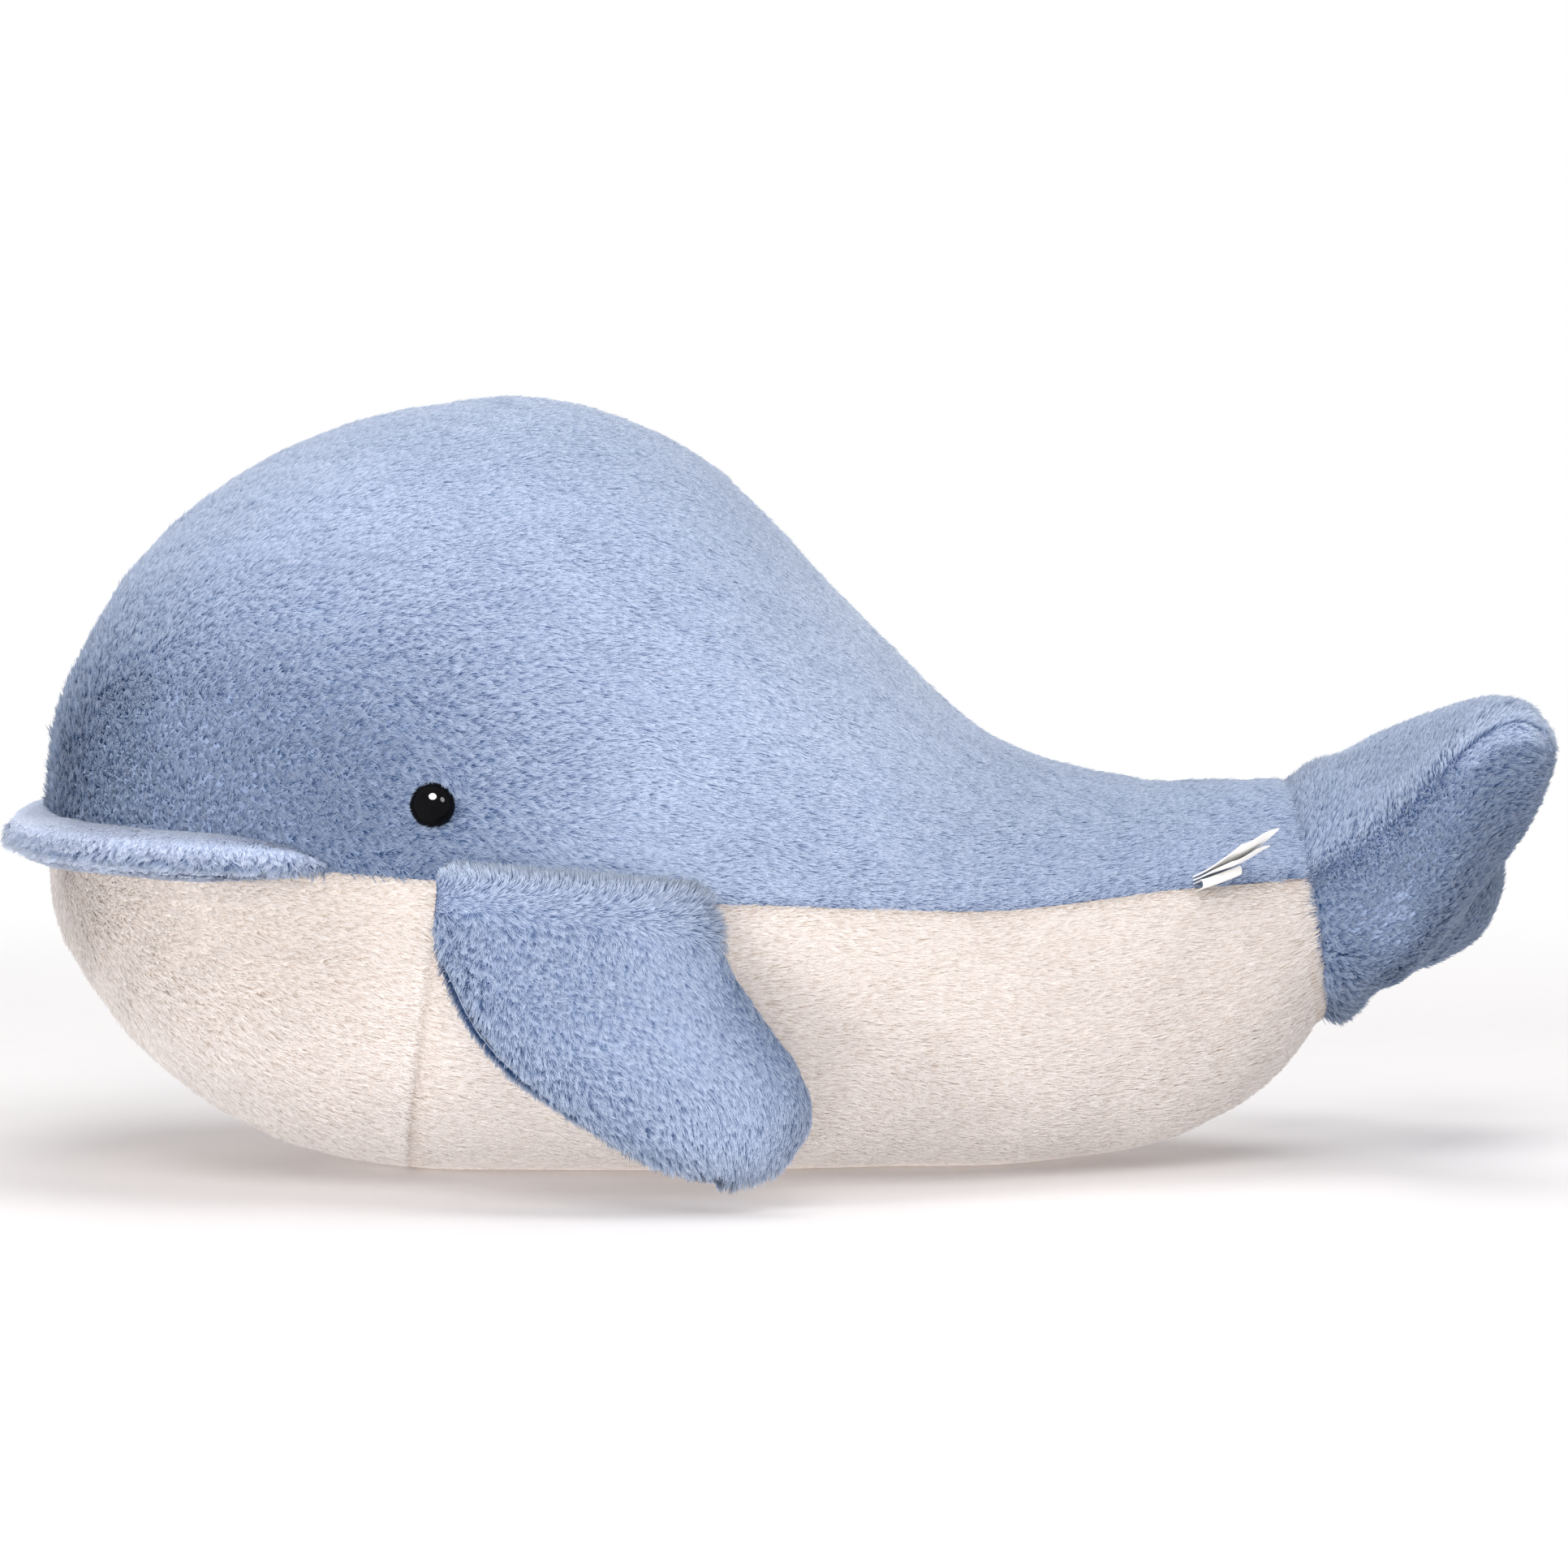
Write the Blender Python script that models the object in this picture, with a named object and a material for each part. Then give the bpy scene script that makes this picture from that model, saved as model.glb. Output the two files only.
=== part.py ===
"""A plush whale at its real size: sewn panels over stuffing, with fins and flukes that flex.

The body is one smooth form. Its spine, side seam and keel are curves through numbered stations from the
nose to the tail, and a ring at each place along them runs from the keel over the side seam to the spine.
The panels lie on that form, the stuffing lies a skin's thickness inside it, and the lip, eyes, labels and
fin hinges are all placed on it. Fins and flukes are pillows: two panels sewn round their outline over
their own stuffing. The head points to -X, the left side is -Y, and the whale rests on Z = 0.
"""

import math

import bmesh
import bpy
import numpy as np
from mathutils import Matrix, Vector

# Overall sizes, in metres
OVERALL_LENGTH = 0.590
OVERALL_HEIGHT = 0.296
BODY_WIDTH = 0.280
BODY_LENGTH = 0.4860

# Fabric, seams and running clearances
SEAM_GAP = 0.0003
SKIN = 0.005
SEAM_PINCH = 0.002
SEAM_ROUND = 0.010
SEAM_SHOULDER = 0.004

# Tail seam: the ring where the flukes are sewn on, and the rounded root that flexes in it
TAIL_RING_RADIUS = 0.0498
TAIL_RING_HEIGHT = 0.0995
TAIL_PITCH_DEG = 10.7
TAIL_PINCH = 0.0033
TAIL_SEAM_RISE_DEG = 17.5
TAIL_FLEX_DEG = 10.0
TAIL_FLEX_PLAY_DEG = 1.0
TAIL_ROOT_RADIUS = 0.0385
TAIL_ROOT_CLEARANCE = 0.0009

# Lip round the mouth line
LIP_REACH = 0.0145
LIP_HALF_HEIGHT = 0.0092
LIP_END_REACH = 0.0055
LIP_END_HALF_HEIGHT = 0.0045
LIP_TAPER = 0.055
LIP_RAISE = 0.0034
LIP_SKIN = 0.003

# Eyes: moulded domes whose shanks are locked by washers behind the fabric
EYE_DIAMETER = 0.017
EYE_DOME_HEIGHT = 0.0078
EYE_RIM = 0.0012
EYE_SEAT_DEPTH = 0.0018
EYE_SEAT_MARGIN = 0.0006
EYE_HEIGHT_ABOVE_SEAM = 0.0285
SHANK_RADIUS = 0.0024
SHANK_RIDGE = 0.0004
SHANK_PITCH = 0.0032
SHANK_LENGTH = 0.0125
SHANK_CLEARANCE = 0.0004
WASHER_RADIUS = 0.0070
WASHER_THICKNESS = 0.0016
WASHER_COLLAR_RADIUS = 0.0040
WASHER_COLLAR_HEIGHT = 0.0012
WASHER_SEAT_DEPTH = 0.0045
EYE_POCKET_MARGIN = 0.0008
EYE_POCKET_OVERRUN = 0.020

# Fins
FIN_LENGTH = 0.100
FIN_ROOT_WIDTH = 0.103
FIN_ROOT_RADIUS = 0.0060
FIN_THICKNESS = 0.026
FIN_SKIN = 0.0036
FIN_TILT_DEG = 10.0
FIN_SEAT_DEPTH = 0.0008

# Flukes
FLUKE_SPAN = 0.215
FLUKE_LENGTH = 0.0942
FLUKE_LIFT = 0.0188
FLUKE_TWIST_DEG = 23.0
FLUKE_YAW_DEG = 6.1
FLUKE_TWIST_RUN = 0.0705

# Sewn-in labels in the left side seam near the tail
LABEL_WIDTH = 0.017
LABEL_THICKNESS = 0.0006
LABEL_LONG_LENGTH = 0.030
LABEL_LONG_WAY = 0.0042
LABEL_LONG_RISE_DEG = 12.0
LABEL_SHORT_LENGTH = 0.023
LABEL_SHORT_WAY = 0.0029
LABEL_SHORT_RISE_DEG = 6.0
LABEL_LOOP_LENGTH = 0.009
LABEL_LOOP_RADIUS = 0.0021
LABEL_RISE = 0.004
LABEL_ROOT_GAP = 0.0003

# The spine (x, z), side seam (x, y, z) and keel (x, z) at each station, as shares of the body's length,
# half its width and the overall height. The last station, at the tail seam, is worked out from its ring.
SPINE_SHARES = (
    (0.003, 0.557),
    (0.024, 0.652),
    (0.063, 0.765),
    (0.121, 0.862),
    (0.203, 0.942),
    (0.302, 0.989),
    (0.414, 0.993),
    (0.529, 0.910),
    (0.638, 0.730),
    (0.747, 0.563),
    (0.862, 0.501),
)
SEAM_SHARES = (
    (0.000, 0.000, 0.426),
    (0.015, 0.336, 0.424),
    (0.055, 0.593, 0.423),
    (0.120, 0.793, 0.422),
    (0.204, 0.929, 0.420),
    (0.324, 0.991, 0.407),
    (0.421, 1.000, 0.392),
    (0.532, 0.971, 0.379),
    (0.648, 0.864, 0.368),
    (0.759, 0.700, 0.359),
    (0.882, 0.493, 0.374),
)
KEEL_SHARES = (
    (0.001, 0.351),
    (0.016, 0.287),
    (0.057, 0.186),
    (0.117, 0.096),
    (0.193, 0.029),
    (0.285, -0.005),
    (0.410, -0.010),
    (0.537, -0.010),
    (0.661, -0.007),
    (0.783, -0.003),
    (0.913, 0.038),
)
KEEL_RUN_SHARES = (0.076, 0.206)
DOME_FULLNESS = 2.15
BELLY_FULLNESS = 2.30
ROUND_FULLNESS = 2.0

# Stations of the chin seam, the lip's ends, the eyes, the fin hinges and the labels
CHIN_SEAM_STATION = 5
LIP_END_STATION = 4.3
EYE_STATION = 4.99
FIN_STATION = 6.04
LABEL_STATION = 10.25
CHIN_SEAM_ROUND_STATION = 0.08
TAIL_SEAM_ROUND_STATION = 0.09

# Rings to each station, columns between the seams on a ring's upper and lower half, steps on round things
RINGS_PER_STATION = 2
UPPER_COLUMNS = 6
LOWER_COLUMNS = 5
LIP_STEPS = 4
TURNED_STEPS = 16
ROOT_CAP_STEPS = 4
DOME_STEPS = 5
LABEL_STEPS = 6
ARC_SAMPLES = 64
TANGENT_STEP_SHARE = 0.01

# Fin outline: share of the fin's length, then leading and trailing edge as shares of its root width
FIN_OUTLINE_SHARES = (
    (0.00, -0.500, 0.500),
    (0.12, -0.495, 0.548),
    (0.25, -0.456, 0.616),
    (0.40, -0.364, 0.733),
    (0.55, -0.257, 0.854),
    (0.68, -0.121, 0.913),
    (0.80, 0.058, 0.908),
    (0.90, 0.233, 0.845),
    (0.97, 0.408, 0.748),
    (1.00, 0.520, 0.660),
)
FIN_THICKNESS_SHARES = ((0.0, 0.46), (0.2, 0.50), (0.5, 0.94), (0.8, 0.92), (1.0, 0.0))
FIN_ROOT_CORNER_SHARE = 0.06
FIN_ROW_SHARES = (0.0, 0.08, 0.2, 0.35, 0.5, 0.65, 0.78, 0.88, 0.95, 0.985, 1.0)
FIN_ROOT_ROW_SHARES = (-1.0, -0.88, -0.5)
FIN_COLUMN_SHARES = (-1.0, -0.96, -0.82, -0.55, -0.2, 0.2, 0.55, 0.82, 0.96, 1.0)

# Flukes along their rows: how far the half span has grown from the ring's, the thickness and the lift
FLUKE_SPAN_SHARES = (
    (0.0, -0.05),
    (0.15, 0.04),
    (0.3, 0.25),
    (0.46, 0.62),
    (0.61, 0.87),
    (0.77, 0.97),
    (0.9, 0.99),
    (1.0, 0.82),
)
FLUKE_THICKNESS_SHARES = (
    (0.0, 0.934), (0.1, 0.99), (0.3, 0.97), (0.5, 0.93),
    (0.7, 0.82), (0.9, 0.72), (1.0, 0.61),
)
FLUKE_LIFT_SHARES = ((0.0, 0.0), (0.35, 0.49), (0.5, 0.67), (0.8, 0.97), (1.0, 1.0))

# Trailing edge: way out from the middle as a share of the half span, and its share of the flukes' length
FLUKE_TRAILING_SHARES = ((0.0, 0.79), (0.2, 0.785), (0.42, 0.915), (0.66, 0.98), (0.85, 0.985), (1.0, 0.935))
FLUKE_ROW_SHARES = (0.0, 0.08, 0.2, 0.35, 0.5, 0.64, 0.76, 0.86, 0.94, 0.985, 1.0)
FLUKE_COLUMN_COUNT = 14
FLUKE_SEAM_LEVEL_SHARE = 0.5
FLUKE_EDGE_POWER = 8
FLUKE_EDGE_SHARE = 0.3
LABEL_LEAN_SHARE = 0.3

FABRIC_BLUE = (0.40, 0.50, 0.70, 1.0)
FABRIC_BLUE_LIGHT = (0.50, 0.60, 0.80, 1.0)
FABRIC_CREAM = (0.86, 0.79, 0.72, 1.0)
FIBRE_WHITE = (0.88, 0.88, 0.86, 1.0)
EYE_BLACK = (0.005, 0.005, 0.006, 1.0)
WASHER_WHITE = (0.75, 0.75, 0.73, 1.0)
LABEL_WHITE = (0.90, 0.89, 0.87, 1.0)

LAST_STATION = len(SEAM_SHARES)
NOSE_X = LIP_REACH + SEAM_GAP - OVERALL_LENGTH / 2
TAIL_GROOVE = TAIL_RING_RADIUS * math.tan(math.radians(TAIL_FLEX_DEG + TAIL_FLEX_PLAY_DEG) / 2)
TAIL_AXIS = np.array([math.cos(math.radians(TAIL_PITCH_DEG)), 0, math.sin(math.radians(TAIL_PITCH_DEG))])
TAIL_UP = np.array([-TAIL_AXIS[2], 0, TAIL_AXIS[0]])
SIDEWAYS = np.array([0, 1, 0])
TAIL_CENTRE = np.array([NOSE_X + BODY_LENGTH, 0, TAIL_RING_HEIGHT])


def clear_scene():
    """Removes whatever the scene holds."""
    for thing in list(bpy.data.objects):
        bpy.data.objects.remove(thing, do_unlink=True)


def material(name, colour, roughness):
    """A plain Principled material of one colour."""
    made = bpy.data.materials.new(name)
    made.use_nodes = True
    shader = made.node_tree.nodes["Principled BSDF"]
    shader.inputs["Base Color"].default_value = colour
    shader.inputs["Roughness"].default_value = roughness
    shader.inputs["Metallic"].default_value = 0.0
    made.diffuse_color = colour
    return made


def smooth_through(points, place):
    """The point at a place on a smooth curve through points, whose first and last only guide it."""
    start = min(int(place), len(points) - 4)
    step = place - start
    before, near, far, after = points[start : start + 4]
    bend = 2 * before - 5 * near + 4 * far - after
    twist = 3 * near - before - 3 * far + after
    return near + step * ((far - before) + step * (bend + step * twist)) / 2


def along_table(table, share):
    """Reads a table of shares smoothly at a share of its first column: its other columns."""
    keys = np.array([row[0] for row in table])
    values = np.array([row[1:] for row in table])
    index = int(np.clip(np.searchsorted(keys, share) - 1, 0, len(keys) - 2))
    span = keys[index + 1] - keys[index]
    step = np.clip((share - keys[index]) / span, 0, 1)
    slopes = np.gradient(values, keys, axis=0)
    start, end = values[index], values[index + 1]
    ease = step * step * (3 - 2 * step)
    lean = step * (1 - step)
    turning = slopes[index] * (1 - step) - slopes[index + 1] * step
    return start + (end - start) * ease + span * lean * turning


def guided(points, mirrored_first, run=None):
    """Adds a smooth curve's guide points before its first point and after its last."""
    points = [np.array(point, dtype=float) for point in points]
    run = points[-1] - points[-2] if run is None else run
    return [mirrored_first] + points + [points[-2] + 2 * run]


def station_curves():
    """The spine, side seam (on +Y) and keel, each as a list of points with its guide points."""
    end = TAIL_CENTRE - TAIL_GROOVE * TAIL_AXIS
    half_width = BODY_WIDTH / 2
    spine = [(NOSE_X + BODY_LENGTH * x, 0, OVERALL_HEIGHT * z) for x, z in SPINE_SHARES]
    seam = [(NOSE_X + BODY_LENGTH * x, half_width * y, OVERALL_HEIGHT * z) for x, y, z in SEAM_SHARES]
    keel = [(NOSE_X + BODY_LENGTH * x, 0, OVERALL_HEIGHT * z) for x, z in KEEL_SHARES]
    spine.append(end + TAIL_RING_RADIUS * TAIL_UP)
    rise = math.radians(TAIL_SEAM_RISE_DEG)
    seam.append(end + TAIL_RING_RADIUS * (math.cos(rise) * SIDEWAYS + math.sin(rise) * TAIL_UP))
    keel.append(end - TAIL_RING_RADIUS * TAIL_UP)
    mirror = np.array([1, -1, 1])
    run = np.array([BODY_LENGTH * KEEL_RUN_SHARES[0], 0, OVERALL_HEIGHT * KEEL_RUN_SHARES[1]])
    spine = guided(spine, np.array(spine[1]))
    seam = guided(seam, seam[1] * mirror)
    keel = guided(keel, np.array(keel[1]), run)
    return spine, seam, keel


SPINE, SEAM, KEEL = station_curves()


def full_sine(angle, fullness):
    """The sine of a superellipse: with a fullness of 2 it is the plain one."""
    return math.copysign(abs(math.sin(angle)) ** (2 / fullness), math.sin(angle))


def body_point(place, turn):
    """A point of the +Y half at a place and a turn from -1, keel, over 0, seam, to 1, spine."""
    seam = smooth_through(SEAM, place)
    end = smooth_through(SPINE if turn >= 0 else KEEL, place)
    tailward = (place / LAST_STATION) ** 3
    fullness = DOME_FULLNESS if turn >= 0 else BELLY_FULLNESS
    fullness = fullness + (ROUND_FULLNESS - fullness) * tailward
    seam_angle = math.radians(TAIL_SEAM_RISE_DEG) * tailward
    angle = seam_angle + abs(turn) * (math.copysign(math.pi / 2, turn) - seam_angle)
    seam_rise = full_sine(seam_angle, fullness)
    rise = (full_sine(angle, fullness) - seam_rise) / (math.copysign(1, turn) - seam_rise)
    spread = full_sine(math.pi / 2 - abs(angle), fullness)
    spread = spread / full_sine(math.pi / 2 - seam_angle, fullness)
    ahead = seam[0] + (end[0] - seam[0]) * rise
    height = seam[2] + (end[2] - seam[2]) * rise
    return np.array([ahead, seam[1] * spread, height])


def body_normal(place, turn):
    """The outward direction of the body's form at a place and turn on its +Y half."""
    step = TANGENT_STEP_SHARE
    ahead = body_point(min(place + step, LAST_STATION), turn) - body_point(max(place - step, 0), turn)
    ahead = ahead if place > 0 else SIDEWAYS
    over = body_point(place, min(turn + step, 1)) - body_point(place, max(turn - step, -1))
    normal = np.cross(over, ahead)
    seam = smooth_through(SEAM, place)
    outward = body_point(place, turn) - np.array([seam[0], 0, seam[2]])
    if place == 0:
        outward = outward - BODY_LENGTH * TAIL_AXIS
    normal = normal * np.sign(np.dot(normal, outward))
    if abs(turn) == 1:
        normal[1] = 0
    return normal / np.linalg.norm(normal)


def body_skin_point(place, turn, depth):
    """A point at a depth below the body's form, and no lower than that depth above the floor."""
    point = body_point(place, turn) - body_normal(place, turn) * depth
    point[2] = max(point[2], depth)
    return point


def arc_lengths(place, sign):
    """Turns from the seam to the spine (sign 1) or keel (sign -1), and the way along the ring to each."""
    turns = np.linspace(0, 1, ARC_SAMPLES + 1)
    points = np.array([body_point(place, sign * turn) for turn in turns])
    steps = np.linalg.norm(np.diff(points, axis=0), axis=1)
    return turns, np.concatenate([[0], np.cumsum(steps)])


def turn_at(place, distance):
    """The turn that lies a distance along the ring from the side seam, up if positive."""
    turns, lengths = arc_lengths(place, 1 if distance >= 0 else -1)
    return math.copysign(np.interp(abs(distance), lengths, turns), distance)


def ring_columns(place, sign, count, first, last):
    """Ways from the side seam of a ring's columns, closer together beside the seams at its ends."""
    full = arc_lengths(place, sign)[1][-1]
    ways = [first, SEAM_SHOULDER, SEAM_ROUND]
    ends = [full] if last is None else [full - SEAM_ROUND, full - SEAM_SHOULDER, full - last]
    reach = ends[0] - SEAM_ROUND
    ways += [SEAM_ROUND + reach * (number + 1) / (count + 1) for number in range(count)]
    return ways + ends, full


def pinch(distance, depth):
    """How deep a seam draws the fabric in at a distance from it."""
    return depth * max(0.0, 1 - distance / SEAM_ROUND) ** 2


def even_places(start, end, rings):
    """Places along the stations from a start to just before an end, so many rings to each station."""
    count = math.ceil((end - start) * rings)
    return [start + number / rings for number in range(count)]


def chin_rows():
    """Rings of the chin panel: each one's place and how deep the seam at the panel's end draws it in."""
    rows = [(place, 0.0) for place in even_places(0, CHIN_SEAM_STATION, RINGS_PER_STATION)]
    rows.append((CHIN_SEAM_STATION - CHIN_SEAM_ROUND_STATION, pinch(SEAM_SHOULDER, SEAM_PINCH)))
    return rows + [(CHIN_SEAM_STATION - seam_trim(), SEAM_PINCH)]


def belly_rows():
    """Rings of the belly panel, which the chin seam and the tail seam draw in at its ends."""
    rows = [(CHIN_SEAM_STATION + seam_trim(), SEAM_PINCH)]
    rows.append((CHIN_SEAM_STATION + CHIN_SEAM_ROUND_STATION, pinch(SEAM_SHOULDER, SEAM_PINCH)))
    places = even_places(CHIN_SEAM_STATION, LAST_STATION, RINGS_PER_STATION)[1:]
    rows += [(place, 0.0) for place in places]
    rows.append((LAST_STATION - TAIL_SEAM_ROUND_STATION, pinch(SEAM_SHOULDER, TAIL_PINCH)))
    return rows + [(LAST_STATION, TAIL_PINCH)]


def seam_trim():
    """Half the gap at the chin seam, in stations."""
    return SEAM_GAP / 2 / np.linalg.norm(SEAM[CHIN_SEAM_STATION + 1] - SEAM[CHIN_SEAM_STATION])


def back_rows():
    """Rings of the back panels and the stuffing: those of both panels under them, one on the chin seam."""
    chin = [(place, 0.0) for place, _ in chin_rows()[:-1]]
    belly = [(place, 0.0) for place, _ in belly_rows()[1:-2]]
    return chin + [(CHIN_SEAM_STATION, 0.0)] + belly + belly_rows()[-2:]


def panel_grids(rows, sign, count, spine_seam):
    """Outer and inner points of a panel on the +Y side, from its last ring forward and the side seam on."""
    outer = []
    inner = []
    for place, row_pinch in reversed(rows):
        ways, full = ring_columns(place, sign, count, SEAM_GAP / 2, SEAM_GAP / 2 if spine_seam else None)
        outer_row = []
        inner_row = []
        for way in ways:
            edge = min(way, full - way) if spine_seam else way
            turn = turn_at(place, sign * way)
            outer_row.append(body_skin_point(place, turn, max(pinch(edge, SEAM_PINCH), row_pinch)))
            inner_row.append(body_skin_point(place, turn, SKIN))
        outer.append(outer_row)
        inner.append(inner_row)
    return outer, inner


def grid_faces(mesh, rows, middle=0):
    """Triangles over a grid, split alike from its middle column out: parallel grids keep their gap."""
    for part in ([row[middle::-1] for row in rows], [row[middle:] for row in rows]):
        for near, far in zip(part, part[1:]):
            for a, b, c, d in zip(near, near[1:], far[1:], far):
                mesh.faces.new((a, b, c))
                mesh.faces.new((a, c, d))


def grid_vertices(mesh, points):
    """Vertices for a grid of points."""
    return [[mesh.verts.new(point) for point in row] for row in points]


def wall(mesh, first, second):
    """Quads between two lines of vertices."""
    for a, b, c, d in zip(first, first[1:], second[1:], second):
        mesh.faces.new((a, b, c, d))


def shell_mesh(outer_points, inner_points, open_edges=(), middle=0):
    """A shell between two grids. Edges that a mirror image will close are left open."""
    mesh = bmesh.new()
    outer = grid_vertices(mesh, outer_points)
    inner = grid_vertices(mesh, inner_points)
    grid_faces(mesh, outer, middle)
    grid_faces(mesh, inner, middle)
    edges = {
        "first row": (outer[0], inner[0]),
        "last row": (outer[-1], inner[-1]),
        "first column": ([row[0] for row in outer], [row[0] for row in inner]),
        "last column": ([row[-1] for row in outer], [row[-1] for row in inner]),
    }
    for edge, (first, second) in edges.items():
        if edge not in open_edges:
            wall(mesh, first, second)
    return mesh


def add_piece(name, mesh, finish, parent=None, smooth_deg=35.0):
    """Makes an object from a mesh in world places, held by a parent empty where it has one."""
    if parent is not None:
        mesh.transform(parent.matrix_world.inverted())
    bmesh.ops.recalc_face_normals(mesh, faces=mesh.faces)
    data = bpy.data.meshes.new(name)
    mesh.to_mesh(data)
    mesh.free()
    data.shade_smooth()
    data.set_sharp_from_angle(angle=math.radians(smooth_deg))
    data.materials.append(finish)
    piece = bpy.data.objects.new(name, data)
    bpy.context.collection.objects.link(piece)
    piece.parent = parent
    return piece


def mirror_across_middle(piece):
    """Adds the other half of a piece that spans the whale's middle."""
    mirror = piece.modifiers.new("other_half", "MIRROR")
    mirror.use_axis = (False, True, False)
    mirror.use_mirror_merge = True
    mirror.merge_threshold = 0.00001


def flipped(points, side):
    """A grid's points on the +Y side (side 1) or the -Y side (side -1)."""
    return [[np.array([x, side * y, z]) for x, y, z in row] for row in points]


def back_panel(name, side, finish):
    """One back panel, from the side seam up to the seam along the spine, split off the other by a gap."""
    outer, inner = panel_grids(back_rows(), 1, UPPER_COLUMNS, True)
    for row in outer + inner:
        for point in row:
            point[1] = max(point[1], SEAM_GAP / 2)
    mesh = shell_mesh(flipped(outer, side), flipped(inner, side))
    return add_piece(name, mesh, finish)


def under_panel(name, rows, finish):
    """The chin or belly panel: it runs under the body from one side seam to the other."""
    outer, inner = panel_grids(rows, -1, LOWER_COLUMNS, False)
    starts_at_nose = rows[0][0] == 0
    mesh = shell_mesh(outer, inner, ("last column", "last row" if starts_at_nose else ""))
    piece = add_piece(name, mesh, finish)
    mirror_across_middle(piece)
    return piece


def tail_socket_rows(rim, radius):
    """Rings of the round hollow that the fluke's root turns in, from its rim to just before its bottom."""
    rim_angle = math.asin(min(1.0, TAIL_GROOVE * 2 / radius))
    rows = []
    for step in range(ROOT_CAP_STEPS):
        angle = rim_angle + (math.pi / 2 - rim_angle) * step / ROOT_CAP_STEPS
        row = []
        for point in rim:
            away = point - TAIL_CENTRE
            away = away - np.dot(away, TAIL_AXIS) * TAIL_AXIS
            away = away / np.linalg.norm(away)
            row.append(TAIL_CENTRE + radius * (math.cos(angle) * away - math.sin(angle) * TAIL_AXIS))
        rows.append(row)
    return rows


def body_filling(finish):
    """The stuffing of head, belly and tail stem, with the hollow for the flukes' root at its end."""
    depth = SKIN + SEAM_GAP
    radius = TAIL_ROOT_RADIUS + TAIL_ROOT_CLEARANCE
    rows = []
    for place, _ in back_rows():
        upper, full = ring_columns(place, 1, UPPER_COLUMNS, 0, 0)
        lower = ring_columns(place, -1, LOWER_COLUMNS, 0, None)[0][1:]
        ways = upper[::-1] + [-way for way in lower]
        rows.append([body_skin_point(place, turn_at(place, way), depth) for way in ways])
    rows += tail_socket_rows(rows[-1], radius)
    seam = len(upper) - 1
    mesh = bmesh.new()
    vertices = grid_vertices(mesh, rows)
    grid_faces(mesh, vertices[::-1], seam)
    bottom = mesh.verts.new(TAIL_CENTRE - radius * TAIL_AXIS)
    for a, b in zip(vertices[-1], vertices[-1][1:]):
        mesh.faces.new((a, b, bottom))
    piece = add_piece("body_filling", mesh, finish)
    mirror_across_middle(piece)
    return piece


def lip_places():
    """Rings of the lip from the nose to its end, the last one where it ends."""
    return even_places(0, LIP_END_STATION, 2 * RINGS_PER_STATION) + [LIP_END_STATION]


def lip_point(place, side, angle, depth, way_left, gap):
    """A point of the lip's half-round section, above (side 1) or below (side -1) its seam."""
    share = min(1.0, way_left / LIP_TAPER)
    ease = math.sin(share * math.pi / 2)
    reach = LIP_END_REACH + (LIP_REACH - LIP_END_REACH) * ease - depth
    half = LIP_END_HALF_HEIGHT + (LIP_HALF_HEIGHT - LIP_END_HALF_HEIGHT) * ease - depth
    way = side * (gap / 2 + (half - gap / 2) * math.cos(angle))
    turn = turn_at(place, LIP_RAISE + way)
    return body_point(place, turn) + body_normal(place, turn) * (SEAM_GAP + reach * math.sin(angle))


def lip_rows(side, depth, gap):
    """Half of the lip's section at each of its rings, from the body out to the seam along its edge."""
    angles = np.linspace(0, math.pi / 2, LIP_STEPS + 1)
    return [
        [lip_point(place, side, angle, depth, way, gap) for angle in angles]
        for place, way in lip_ways()
    ]


def lip_ways():
    """For each ring of the lip, the way left along the seam to the lip's end."""
    places = lip_places()
    points = [body_point(place, 0) for place in places]
    steps = [np.linalg.norm(b - a) for a, b in zip(points, points[1:])]
    return [(place, sum(steps[number:])) for number, place in enumerate(places)]


def lip_panel(name, side, finish):
    """The lip's upper or lower panel, as far as the seam along its edge."""
    outer = lip_rows(side, 0, SEAM_GAP)
    inner = lip_rows(side, LIP_SKIN, SEAM_GAP)
    piece = add_piece(name, shell_mesh(outer, inner, ("first row",)), finish)
    mirror_across_middle(piece)
    return piece


def lip_filling(finish):
    """The stuffing inside the lip: its section shrinks with the skin and closes along the body."""
    depth = LIP_SKIN + SEAM_GAP
    mesh = bmesh.new()
    upper = grid_vertices(mesh, lip_rows(1, depth, 0))
    lower = grid_vertices(mesh, [row[:-1] for row in lip_rows(-1, depth, 0)])
    lower = [low + high[-1:] for low, high in zip(lower, upper)]
    grid_faces(mesh, upper)
    grid_faces(mesh, lower)
    wall(mesh, [row[0] for row in upper], [row[0] for row in lower])
    mesh.faces.new(upper[-1] + lower[-1][-2::-1])
    piece = add_piece("lip_filling", mesh, finish)
    mirror_across_middle(piece)
    return piece


def turned_mesh(profile, closed):
    """A body turned about Z. An open profile (radius, height) starts and ends on the axis."""
    mesh = bmesh.new()
    rings = []
    for radius, height in profile:
        if radius == 0:
            rings.append([mesh.verts.new((0, 0, height))])
            continue
        turns = [2 * math.pi * step / TURNED_STEPS for step in range(TURNED_STEPS)]
        rings.append([mesh.verts.new((radius * math.cos(t), radius * math.sin(t), height)) for t in turns])
    pairs = list(zip(rings, rings[1:]))
    if closed:
        pairs.append((rings[-1], rings[0]))
    for lower, upper in pairs:
        for step in range(TURNED_STEPS):
            after = (step + 1) % TURNED_STEPS
            if len(lower) == 1:
                mesh.faces.new((lower[0], upper[step], upper[after]))
            elif len(upper) == 1:
                mesh.faces.new((lower[step], lower[after], upper[0]))
            else:
                mesh.faces.new((lower[step], lower[after], upper[after], upper[step]))
    return mesh


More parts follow.
